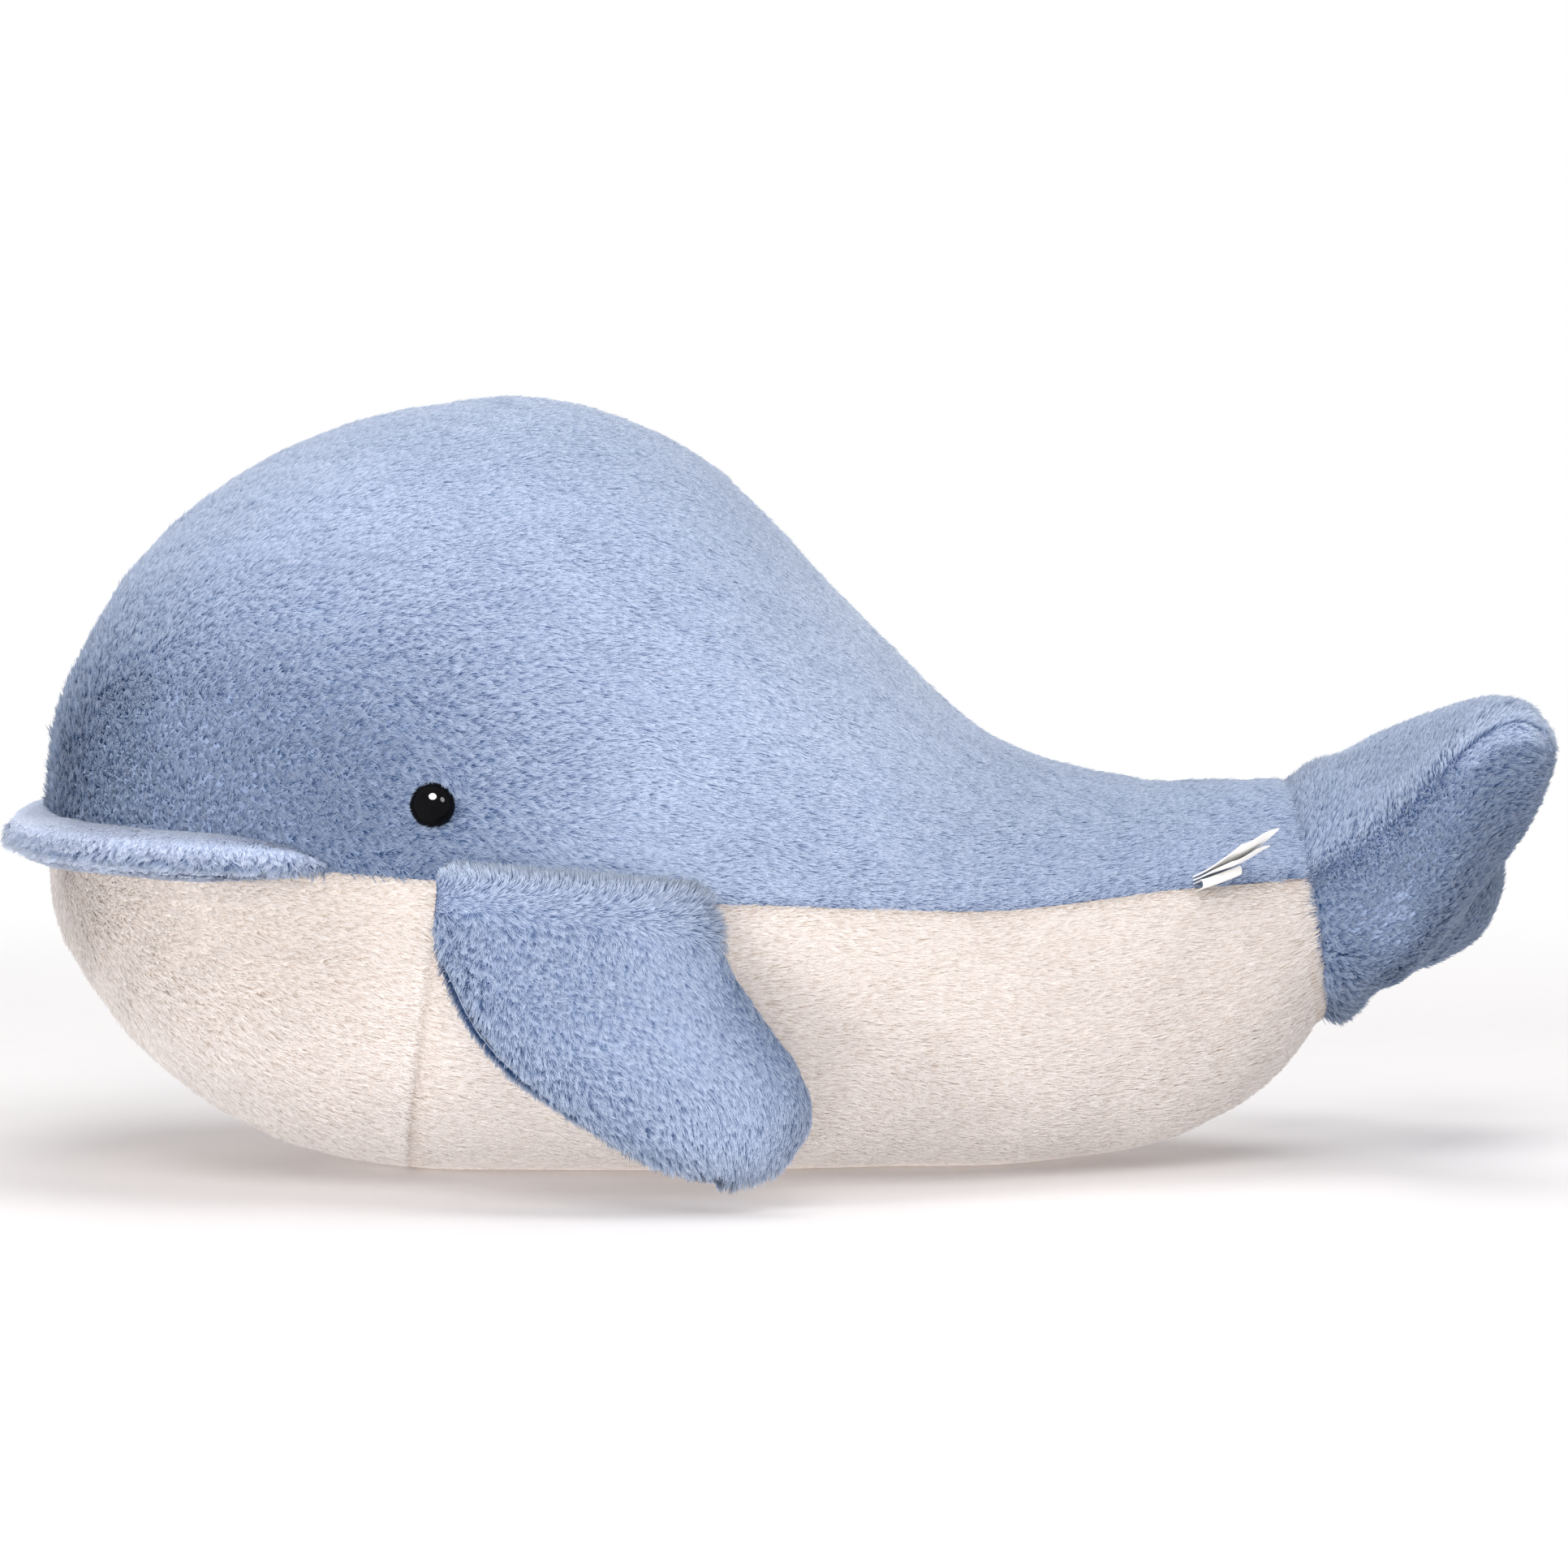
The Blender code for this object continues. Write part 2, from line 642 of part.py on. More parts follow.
def eye_frame(side):
    """Where an eye sits on the head: Z points out of the fabric, zero is on the body's form."""
    turn = turn_at(EYE_STATION, EYE_HEIGHT_ABOVE_SEAM)
    mirror = np.array([1, side, 1])
    place = Vector(body_point(EYE_STATION, turn) * mirror)
    normal = Vector(body_normal(EYE_STATION, turn) * mirror)
    return Matrix.Translation(place) @ normal.to_track_quat("Z", "Y").to_matrix().to_4x4()


def eye(name, frame, finish):
    """A domed eye with its ridged shank, one moulded piece."""
    radius = EYE_DIAMETER / 2
    back = SEAM_GAP - EYE_SEAT_DEPTH
    profile = [(0, back + EYE_RIM + EYE_DOME_HEIGHT)]
    for step in range(1, DOME_STEPS + 1):
        angle = math.pi / 2 * step / DOME_STEPS
        profile.append((radius * math.sin(angle), back + EYE_RIM + EYE_DOME_HEIGHT * math.cos(angle)))
    profile.append((radius, back + EYE_RIM / 2))
    profile.append((radius - EYE_RIM / 2, back))
    profile.append((SHANK_RADIUS, back))
    ridges = int(SHANK_LENGTH / SHANK_PITCH) - 1
    for ridge in range(1, ridges):
        height = back - ridge * SHANK_PITCH
        profile.append((SHANK_RADIUS, height))
        profile.append((SHANK_RADIUS - SHANK_RIDGE, height - SHANK_PITCH / 2))
    profile.append((SHANK_RADIUS, back - SHANK_LENGTH + SHANK_PITCH))
    profile.append((SHANK_RADIUS / 2, back - SHANK_LENGTH))
    profile.append((0, back - SHANK_LENGTH))
    mesh = turned_mesh(profile, False)
    mesh.transform(frame)
    return add_piece(name, mesh, finish)


def eye_washer(name, frame, finish):
    """The washer that locks a shank behind the fabric: a disc with a raised collar round its bore."""
    bore = SHANK_RADIUS + SHANK_CLEARANCE
    top = -WASHER_SEAT_DEPTH - SEAM_GAP
    bottom = top - WASHER_THICKNESS
    profile = [
        (bore, top),
        (WASHER_RADIUS, top),
        (WASHER_RADIUS, bottom),
        (WASHER_COLLAR_RADIUS, bottom),
        (WASHER_COLLAR_RADIUS, bottom - WASHER_COLLAR_HEIGHT),
        (bore, bottom - WASHER_COLLAR_HEIGHT),
    ]
    mesh = turned_mesh(profile, True)
    mesh.transform(frame)
    return add_piece(name, mesh, finish)


def cut_eye_seat(side, frame, panel, filling):
    """Cuts the flat seat, the shank's hole and the washer's pocket into the panel and the stuffing."""
    seat = EYE_DIAMETER / 2 + EYE_SEAT_MARGIN
    hole = SHANK_RADIUS + SHANK_CLEARANCE
    pocket = WASHER_RADIUS + EYE_POCKET_MARGIN
    bottom = -EYE_SEAT_DEPTH - SHANK_LENGTH - EYE_POCKET_MARGIN
    profile = [
        (0, EYE_POCKET_OVERRUN),
        (seat, EYE_POCKET_OVERRUN),
        (seat, -EYE_SEAT_DEPTH),
        (hole, -EYE_SEAT_DEPTH),
        (hole, -WASHER_SEAT_DEPTH),
        (pocket, -WASHER_SEAT_DEPTH),
        (pocket, bottom),
        (0, bottom),
    ]
    mesh = turned_mesh(profile, False)
    mesh.transform(frame)
    cutter = add_piece("eye_seat_cutter_" + side, mesh, panel.data.materials[0])
    cutter.hide_render = True
    cutter.display_type = "WIRE"
    for piece in (panel, filling):
        cut = piece.modifiers.new("eye_seat", "BOOLEAN")
        cut.operation = "DIFFERENCE"
        cut.object = cutter
    return cutter


def hinge_empty(name, origin, axis):
    """An empty on a joint's axis, which its X follows."""
    across = Vector(axis).normalized()
    up = across.cross(Vector(SIDEWAYS))
    if up.length < TANGENT_STEP_SHARE:
        up = Vector(TAIL_UP)
    side = up.cross(across).normalized()
    up = across.cross(side)
    rotation = Matrix((across, side, up)).transposed().to_4x4()
    empty = bpy.data.objects.new(name, None)
    empty.matrix_world = Matrix.Translation(Vector(origin)) @ rotation
    empty.empty_display_size = TAIL_RING_RADIUS
    bpy.context.collection.objects.link(empty)
    bpy.context.view_layer.update()
    return empty


def fin_frame():
    """The +Y fin's hinge: a point on its axis, then the axis, the way down the fin and the way out."""
    middle = body_point(FIN_STATION, 0)
    step = 1 / RINGS_PER_STATION
    ahead = body_point(FIN_STATION + step, 0) - body_point(FIN_STATION - step, 0)
    axis = ahead / np.linalg.norm(ahead)
    down = np.array([axis[2], 0, -axis[0]])
    down = down / np.linalg.norm(down)
    out = np.cross(down, axis)
    out = out * np.sign(out[1])
    tilt = math.radians(FIN_TILT_DEG)
    origin = middle + out * (FIN_ROOT_RADIUS - FIN_SEAT_DEPTH)
    reach = down * math.cos(tilt) + out * math.sin(tilt)
    face = out * math.cos(tilt) - down * math.sin(tilt)
    return origin, axis, reach, face


def fin_point(row, column, face, depth):
    """A point of the +Y fin: row from -1, the root's edge, over 0, the hinge, to 1, the tip."""
    origin, axis, down, out = fin_frame()
    lead, trail = along_table(FIN_OUTLINE_SHARES, max(row, 0)) * FIN_ROOT_WIDTH
    if row < 0:
        way = row * (FIN_ROOT_RADIUS - depth)
        half = (FIN_ROOT_RADIUS - depth) * math.sqrt(1 - row * row)
        corner = FIN_ROOT_CORNER_SHARE * FIN_ROOT_WIDTH * row * row
        lead = lead + corner
        trail = trail - corner
    else:
        way = row * (FIN_LENGTH - depth)
        thick = along_table(FIN_THICKNESS_SHARES, row)[0] * FIN_THICKNESS / 2
        half = max(thick - depth * min(1.0, thick / FIN_ROOT_RADIUS), 0)
    middle = (lead + trail) / 2
    width = max((trail - lead) / 2 - depth, FIN_SKIN)
    swell = half * (1 - column * column) ** 0.5
    return origin + axis * (middle + width * column) + down * way + out * face * swell


def pillow_rows(point_at, rows, columns, face, depth, gap):
    """A grid over one face of a pillow, lifted off its middle by a gap."""
    lift = gap * face
    return [[point_at(row, column, face, depth) + lift for column in columns] for row in rows]


def pillow_panel(name, point_at, rows, columns, face, skin, out, finish, parent, side):
    """One panel of a pillow: a shell from the outline's seam over one of its faces."""
    gap = out * SEAM_GAP / 2
    outer = pillow_rows(point_at, rows, columns, face, 0, gap)
    inner = pillow_rows(point_at, rows, columns, face, skin, gap)
    middle = len(columns) // 2
    mesh = shell_mesh(flipped(outer, side), flipped(inner, side), (), middle)
    return add_piece(name, mesh, finish, parent)


def pillow_core(point_at, rows, columns, depth, side):
    """A pillow's stuffing with its root open: the mesh, and the loop of vertices round that opening."""
    mesh = bmesh.new()
    top = grid_vertices(mesh, flipped([[point_at(r, c, 1, depth) for c in columns] for r in rows], side))
    low = []
    for number, row in enumerate(rows):
        if number == len(rows) - 1:
            low.append(top[number])
            continue
        inner = [point_at(row, column, -1, depth) for column in columns[1:-1]]
        middle = [mesh.verts.new(point) for point in flipped([inner], side)[0]]
        low.append([top[number][0]] + middle + [top[number][-1]])
    grid_faces(mesh, top, len(columns) // 2)
    grid_faces(mesh, low, len(columns) // 2)
    return mesh, top[0] + low[0][-2:0:-1]


def fin(name, side, blue, fibre):
    """A fin: outer panel, inner panel and stuffing on one hinge along the side seam."""
    mirror = np.array([1, side, 1])
    origin, axis, _, out = fin_frame()
    hinge = hinge_empty(name + "_hinge", origin * mirror, axis * mirror)
    rows = FIN_ROOT_ROW_SHARES + FIN_ROW_SHARES
    columns = FIN_COLUMN_SHARES
    for face, label in ((1, "_outer_panel"), (-1, "_inner_panel")):
        pillow_panel(name + label, fin_point, rows, columns, face, FIN_SKIN, out, blue, hinge, side)
    mesh, loop = pillow_core(fin_point, rows[1:], columns, FIN_SKIN + SEAM_GAP, side)
    mesh.faces.new(loop)
    add_piece(name + "_filling", mesh, fibre, hinge)
    return hinge


def fluke_point(row, column, face, depth):
    """A point of the flukes: row from 0, the tail seam, to 1, the trailing edge; column -1 to 1 across."""
    seam_angle = math.radians(TAIL_SEAM_RISE_DEG) * max(0.0, 1 - row / FLUKE_SEAM_LEVEL_SHARE)
    angle = face * math.pi / 2 - abs(column) * (face * math.pi / 2 - seam_angle)
    outward = math.cos(angle)
    grown = along_table(FLUKE_SPAN_SHARES, row)[0]
    half_span = TAIL_RING_RADIUS + (FLUKE_SPAN / 2 - TAIL_RING_RADIUS) * grown - depth
    thick = TAIL_RING_RADIUS * along_table(FLUKE_THICKNESS_SHARES, row)[0]
    thick = thick * math.sqrt(1 - row**FLUKE_EDGE_POWER)
    thick = thick - depth * min(1.0, thick / (FLUKE_EDGE_SHARE * TAIL_RING_RADIUS))
    length = FLUKE_LENGTH * along_table(FLUKE_TRAILING_SHARES, outward)[0] - depth
    back = TAIL_GROOVE + row * (length - TAIL_GROOVE)
    aside = math.copysign(half_span * outward, column)
    up = FLUKE_LIFT * along_table(FLUKE_LIFT_SHARES, row)[0] + thick * math.sin(angle)
    share = min(1.0, (back - TAIL_GROOVE) / FLUKE_TWIST_RUN)
    turned = share * share * (3 - 2 * share)
    twist = math.radians(FLUKE_TWIST_DEG) * turned
    back = back - aside * math.sin(math.radians(FLUKE_YAW_DEG)) * turned
    turned_aside = aside * math.cos(twist) + up * math.sin(twist)
    turned_up = up * math.cos(twist) - aside * math.sin(twist)
    return TAIL_CENTRE + TAIL_AXIS * back + SIDEWAYS * turned_aside + TAIL_UP * turned_up


def flukes(blue, fibre):
    """The flukes: top and bottom panel and stuffing, whose round root sits in the tail's hollow."""
    hinge = hinge_empty("tail_flex_hinge", TAIL_CENTRE, SIDEWAYS)
    columns = np.linspace(-1, 1, FLUKE_COLUMN_COUNT + 1)
    rows = FLUKE_ROW_SHARES
    for face, label in ((1, "fluke_top_panel"), (-1, "fluke_bottom_panel")):
        pillow_panel(label, fluke_point, rows, columns, face, SKIN, TAIL_UP, blue, hinge, 1)
    mesh, loop = pillow_core(fluke_point, rows, columns, SKIN + SEAM_GAP, 1)
    neck = math.asin(TAIL_GROOVE / TAIL_ROOT_RADIUS)
    steps = 2 * ROOT_CAP_STEPS - 1
    line = loop
    for step in range(steps):
        angle = -neck + (math.pi / 2 + neck) * step / steps
        ring = []
        for vertex in loop:
            away = np.array(vertex.co) - TAIL_CENTRE
            away = away - np.dot(away, TAIL_AXIS) * TAIL_AXIS
            away = away / np.linalg.norm(away) * math.cos(angle)
            root = TAIL_CENTRE + TAIL_ROOT_RADIUS * (away - math.sin(angle) * TAIL_AXIS)
            ring.append(mesh.verts.new(root))
        wall(mesh, line + line[:1], ring + ring[:1])
        line = ring
    tip = mesh.verts.new(TAIL_CENTRE - TAIL_ROOT_RADIUS * TAIL_AXIS)
    for a, b in zip(line, line[1:] + line[:1]):
        mesh.faces.new((a, b, tip))
    add_piece("fluke_filling", mesh, fibre, hinge)
    return hinge


def label_ways():
    """The ways that the labels' leaves take from the left side seam: along it, out of the fabric and up."""
    mirror = np.array([1, -1, 1])
    step = 1 / (2 * RINGS_PER_STATION)
    along = body_point(LABEL_STATION + step, 0) - body_point(LABEL_STATION, 0)
    along = along / np.linalg.norm(along) * mirror
    out = body_normal(LABEL_STATION, 0) * mirror
    up = np.cross(along, out)
    return along, out, up * np.sign(up[2])


def label_root(way, share):
    """A point just outside the left side's fabric, at a way above the seam and a share across."""
    station_length = np.linalg.norm(SEAM[LAST_STATION + 1] - SEAM[LAST_STATION])
    place = LABEL_STATION + share * LABEL_WIDTH / station_length
    way = way + share * LABEL_RISE
    turn = turn_at(place, way)
    depth = pinch(abs(way), SEAM_PINCH) - LABEL_ROOT_GAP
    return (body_point(place, turn) - body_normal(place, turn) * depth) * np.array([1, -1, 1])


def label_leaf(name, length, way, rise_deg, finish):
    """A flat leaf sewn in by one edge: it stands out, leans towards the tail and curls up."""
    along, out, up = label_ways()
    lower = []
    upper = []
    shift = np.zeros(3)
    for step in range(LABEL_STEPS + 1):
        if step:
            angle = math.radians(rise_deg) * 2 * step / LABEL_STEPS
            turned = out * math.cos(angle) + up * math.sin(angle) + along * LABEL_LEAN_SHARE
            shift = shift + turned / np.linalg.norm(turned) * length / LABEL_STEPS
        lower.append([label_root(way, share) + shift for share in (0, 1)])
        upper.append([point + up * LABEL_THICKNESS for point in lower[-1]])
    return add_piece(name, shell_mesh(upper, lower), finish)


def label_loop(name, finish):
    """A short folded label: a strip doubled round into a flat loop, both ends in the seam."""
    _, out, up = label_ways()
    outer = []
    inner = []
    for radius, grid in ((LABEL_LOOP_RADIUS, outer), (LABEL_LOOP_RADIUS - LABEL_THICKNESS, inner)):
        grid.append([label_root(radius, share) for share in (0, 1)])
        for angle in np.linspace(math.pi / 2, -math.pi / 2, LABEL_STEPS + 1):
            bend = out * (LABEL_LOOP_LENGTH - LABEL_LOOP_RADIUS + radius * math.cos(angle))
            bend = bend + up * radius * math.sin(angle)
            grid.append([label_root(0, share) + bend for share in (0, 1)])
        grid.append([label_root(-radius, share) for share in (0, 1)])
    return add_piece(name, shell_mesh(outer, inner), finish)


def build():
    """Builds the whale."""
    clear_scene()
    blue = material("blue_fabric", FABRIC_BLUE, 0.95)
    light_blue = material("light_blue_fabric", FABRIC_BLUE_LIGHT, 0.95)
    cream = material("cream_fabric", FABRIC_CREAM, 0.95)
    fibre = material("stuffing", FIBRE_WHITE, 1.0)
    black = material("black_plastic", EYE_BLACK, 0.08)
    white = material("white_plastic", WASHER_WHITE, 0.5)
    label = material("label_satin", LABEL_WHITE, 0.6)

    filling = body_filling(fibre)
    backs = {
        "left": back_panel("back_panel_left", -1, blue),
        "right": back_panel("back_panel_right", 1, blue),
    }
    under_panel("chin_panel", chin_rows(), cream)
    under_panel("belly_panel", belly_rows(), cream)

    lip_panel("lip_upper_panel", 1, light_blue)
    lip_panel("lip_lower_panel", -1, blue)
    lip_filling(fibre)

    for side, sign in (("left", -1), ("right", 1)):
        frame = eye_frame(sign)
        cut_eye_seat(side, frame, backs[side], filling)
        eye("eye_" + side, frame, black)
        eye_washer("eye_washer_" + side, frame, white)
        fin("fin_" + side, sign, blue, fibre)

    flukes(blue, fibre)
    label_leaf("label_long_leaf", LABEL_LONG_LENGTH, LABEL_LONG_WAY, LABEL_LONG_RISE_DEG, label)
    label_leaf("label_short_leaf", LABEL_SHORT_LENGTH, LABEL_SHORT_WAY, LABEL_SHORT_RISE_DEG, label)
    label_loop("label_folded_loop", label)


build()
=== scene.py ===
"""The looks of the plush whale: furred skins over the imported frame, glossy eyes, woven labels and a pale set.

Each panel of the frame gets a skin whose surface is modelled in overlapping tufts, and a coat of fine strands
on it. The skins follow the same curves as the solids: rings along numbered stations for the body, and rows
from the root to the edge for the fins and flukes. The head points to -X, and the left side is -Y.
"""

import math

import bpy
import numpy as np
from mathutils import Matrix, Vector


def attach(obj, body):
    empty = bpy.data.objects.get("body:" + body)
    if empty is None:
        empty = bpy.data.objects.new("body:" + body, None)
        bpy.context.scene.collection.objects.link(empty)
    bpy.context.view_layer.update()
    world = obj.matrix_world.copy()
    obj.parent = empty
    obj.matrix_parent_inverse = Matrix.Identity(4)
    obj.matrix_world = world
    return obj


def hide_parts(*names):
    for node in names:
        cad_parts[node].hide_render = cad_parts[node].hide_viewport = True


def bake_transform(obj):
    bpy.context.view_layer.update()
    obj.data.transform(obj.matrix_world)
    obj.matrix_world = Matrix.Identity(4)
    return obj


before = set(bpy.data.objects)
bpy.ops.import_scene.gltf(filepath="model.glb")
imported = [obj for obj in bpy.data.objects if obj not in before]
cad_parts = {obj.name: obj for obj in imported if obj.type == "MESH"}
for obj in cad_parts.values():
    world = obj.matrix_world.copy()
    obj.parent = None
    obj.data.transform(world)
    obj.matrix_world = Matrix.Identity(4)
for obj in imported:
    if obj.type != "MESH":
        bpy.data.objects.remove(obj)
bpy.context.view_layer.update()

# The frame's sizes that the skins follow, in metres
LENGTH = 0.590
HEIGHT = 0.296
BODY_WIDTH = 0.280
BODY_LENGTH = 0.4860
LIP_REACH = 0.0145
LIP_HALF_HEIGHT = 0.0092
LIP_END_REACH = 0.0055
LIP_END_HALF_HEIGHT = 0.0045
LIP_TAPER = 0.055
LIP_RAISE = 0.0034
LIP_END_STATION = 4.3
LIP_FULLNESS = 0.80
RING_RADIUS = 0.0498
RING_HEIGHT = 0.0995
RING_PITCH = math.radians(10.7)
RING_SEAM_RISE = math.radians(17.5)
RING_OPENING = math.radians(11)
RING_GROOVE = RING_RADIUS * math.tan(RING_OPENING / 2)
FRAME_GAP = 0.0003
NOSE_X = LIP_REACH + FRAME_GAP - LENGTH / 2
DOME_FULLNESS = 2.15
BELLY_FULLNESS = 2.30
ROUND_FULLNESS = 2.0
CHIN_SEAM_STATION = 5
EYE_STATION = 4.99
EYE_RISE = 0.0285
EYE_RADIUS = 0.0085
EYE_DOME = 0.0078
EYE_BACK = -0.0030
EYE_RIM = 0.0012
SHANK_RADIUS = 0.0024
SHANK_LENGTH = 0.0125
FIN_STATION = 6.04
FIN_LENGTH = 0.100
FIN_ROOT_WIDTH = 0.103
FIN_ROOT_RADIUS = 0.0060
FIN_ROOT_CORNER = 0.06 * FIN_ROOT_WIDTH
FIN_THICKNESS = 0.026
FIN_TILT = math.radians(10)
FIN_SEAT_DEPTH = 0.0008
FLUKE_SPAN = 0.215
FLUKE_LENGTH = 0.0942
FLUKE_LIFT = 0.0188
FLUKE_TWIST = math.radians(23.0)
FLUKE_YAW = math.radians(6.1)
FLUKE_TWIST_RUN = 0.0705
LABEL_WIDTH = 0.017
LABEL_STATION = 10.25
LABEL_RISE = 0.004
LABEL_THICKNESS = 0.0005
LABEL_LOOP_RADIUS = 0.0021
LABEL_LOOP_REACH = 0.009

# Curves through the stations and outlines of fins and flukes, as shares like those of the frame
SPINE_SHARES = (
    (0.003, 0.557), (0.024, 0.652), (0.063, 0.765), (0.121, 0.862), (0.203, 0.942), (0.302, 0.989),
    (0.414, 0.993), (0.529, 0.910), (0.638, 0.730), (0.747, 0.563), (0.862, 0.501),
)
SEAM_SHARES = (
    (0.000, 0.000, 0.426), (0.015, 0.336, 0.424), (0.055, 0.593, 0.423), (0.120, 0.793, 0.422),
    (0.204, 0.929, 0.420), (0.324, 0.991, 0.407), (0.421, 1.000, 0.392), (0.532, 0.971, 0.379),
    (0.648, 0.864, 0.368), (0.759, 0.700, 0.359), (0.882, 0.493, 0.374),
)
KEEL_SHARES = (
    (0.001, 0.351), (0.016, 0.287), (0.057, 0.186), (0.117, 0.096), (0.193, 0.029), (0.285, -0.005),
    (0.410, -0.010), (0.537, -0.010), (0.661, -0.007), (0.783, -0.003), (0.913, 0.038),
)
KEEL_RUN_SHARES = (0.076, 0.206)
FIN_OUTLINE = (
    (0.00, -0.500, 0.500), (0.12, -0.495, 0.548), (0.25, -0.456, 0.616), (0.40, -0.364, 0.733),
    (0.55, -0.257, 0.854), (0.68, -0.121, 0.913), (0.80, 0.058, 0.908), (0.90, 0.233, 0.845),
    (0.97, 0.408, 0.748), (1.00, 0.520, 0.660),
)
FIN_INNER_REACH = 0.0050
FIN_THICK = ((0.0, 0.46), (0.2, 0.50), (0.5, 0.94), (0.8, 0.92), (1.0, 0.0))
FLUKE_GROWTH = (
    (0.0, -0.05), (0.15, 0.04), (0.3, 0.25), (0.46, 0.62), (0.61, 0.87), (0.77, 0.97), (0.9, 0.99), (1.0, 0.82),
)
FLUKE_THICK = ((0.0, 0.934), (0.1, 0.99), (0.3, 0.97), (0.5, 0.93), (0.7, 0.82), (0.9, 0.72), (1.0, 0.61))
FLUKE_RISE = ((0.0, 0.0), (0.35, 0.49), (0.5, 0.67), (0.8, 0.97), (1.0, 1.0))
FLUKE_SUNK = {1: (0.0034, 0.55), -1: (0.0030, 0.34)}
FLUKE_SEAM = ((0.0, 17.5), (0.15, 16.0), (0.4, 13.0), (0.7, 10.0), (0.9, 5.0), (1.0, 3.0))
FLUKE_TRAILING = ((0.0, 0.79), (0.2, 0.785), (0.42, 0.915), (0.66, 0.98), (0.85, 0.985), (1.0, 0.935))

# Skins: how deep they lie below the frame's outer face, their seams' rounding, and the tufts on them
SKIN_DEPTH = 0.0022
SEAM_PINCH = 0.0024
SEAM_ROUND = 0.008
TUCK = 0.004
RING_GAP = 0.0002
RING_TUCK = 0.0022
HEM_DEPTH = 0.0068
HEM_ARCH = 0.0028
HEM_REACH = 0.007
TUFT_LENGTH = 0.0062
TUFT_WIDTH = 0.0019
TUFT_HEIGHT = 0.0014
FLOOR_SQUASH = 0.012
SKIN_FLOOR = 0.0003

# Strands
STRAND_STEPS = 5
STRAND_RADIUS = 0.00010
DENSITY = 4.0
ROOT_DEPTH = 0.0028
CLUMP_SIZE = 0.0015
CLUMP_MEET = 0.30
STRAND_FLOOR = 0.0002
STRAND_TAPER = (1.0, 1.0, 0.9, 0.7, 0.35)
SEEDS = {"back": 11, "chin": 31, "belly": 41, "lip": 51, "fin": 61, "fluke": 71}

# The picture's camera
CAMERA_PLACE = Vector((0.0042, -2.5901, 0.3477))
CAMERA_AIM = Vector((0.0050, 0.0022, 0.1458))
CAMERA_LENS = 153.2

# The set
FLOOR_REACH = 12.0
FLOOR_Z = -0.0004
LAMP_AIM = Vector((0.0, 0.0, 0.12))

RING_AXIS = np.array([math.cos(RING_PITCH), 0, math.sin(RING_PITCH)])
RING_UP = np.array([-RING_AXIS[2], 0, RING_AXIS[0]])
SIDEWAYS = np.array([0.0, 1.0, 0.0])
MIRROR = np.array([1, -1, 1])
RING_CENTRE = np.array([NOSE_X + BODY_LENGTH, 0, RING_HEIGHT])
LAST_STATION = len(SEAM_SHARES)


# ---- The frame's curves, for whole arrays of places ----

def smooth_through(points, place):
    """Points at places on a smooth curve through numbered points, whose first and last only guide it."""
    start = np.clip(place.astype(int), 0, len(points) - 4)
    step = (place - start)[..., None]
    before, near, far, after = (points[start + ahead] for ahead in range(4))
    bend = 2 * before - 5 * near + 4 * far - after
    twist = 3 * near - before - 3 * far + after
    return near + step * ((far - before) + step * (bend + step * twist)) / 2


def along_table(table, share):
    """Reads a table of shares smoothly at shares of its first column: its other columns, last axis."""
    share = np.asarray(share, dtype=float)
    keys = np.array([row[0] for row in table])
    values = np.array([row[1:] for row in table])
    index = np.clip(np.searchsorted(keys, share) - 1, 0, len(keys) - 2)
    span = keys[index + 1] - keys[index]
    step = np.clip((share - keys[index]) / span, 0, 1)[..., None]
    slopes = np.gradient(values, keys, axis=0)
    start, end = values[index], values[index + 1]
    turning = slopes[index] * (1 - step) - slopes[index + 1] * step
    return start + (end - start) * step * step * (3 - 2 * step) + span[..., None] * step * (1 - step) * turning


def station_curves():
    """The spine, side seam (on +Y) and keel, each with its guide points."""
    end = RING_CENTRE - RING_GROOVE * RING_AXIS
    spine = [(NOSE_X + BODY_LENGTH * x, 0, HEIGHT * z) for x, z in SPINE_SHARES]
    seam = [(NOSE_X + BODY_LENGTH * x, BODY_WIDTH / 2 * y, HEIGHT * z) for x, y, z in SEAM_SHARES]
    keel = [(NOSE_X + BODY_LENGTH * x, 0, HEIGHT * z) for x, z in KEEL_SHARES]
    spine.append(end + RING_RADIUS * RING_UP)
    side = math.cos(RING_SEAM_RISE) * SIDEWAYS + math.sin(RING_SEAM_RISE) * RING_UP
    seam.append(end + RING_RADIUS * side)
    keel.append(end - RING_RADIUS * RING_UP)
    keel_run = np.array([BODY_LENGTH * KEEL_RUN_SHARES[0], 0, HEIGHT * KEEL_RUN_SHARES[1]])
    curves = []
    for points, flip, run in ((spine, 1, None), (seam, -1, None), (keel, 1, keel_run)):
        points = np.array(points, dtype=float)
        run = points[-1] - points[-2] if run is None else run
        first = points[1] * np.array([1, flip, 1])
        curves.append(np.vstack([first, points, points[-2] + 2 * run]))
    return curves


SPINE, SEAM, KEEL = station_curves()


def full_sine(angle, fullness):
    """The sine of a superellipse."""
    return np.sign(np.sin(angle)) * np.abs(np.sin(angle)) ** (2 / fullness)


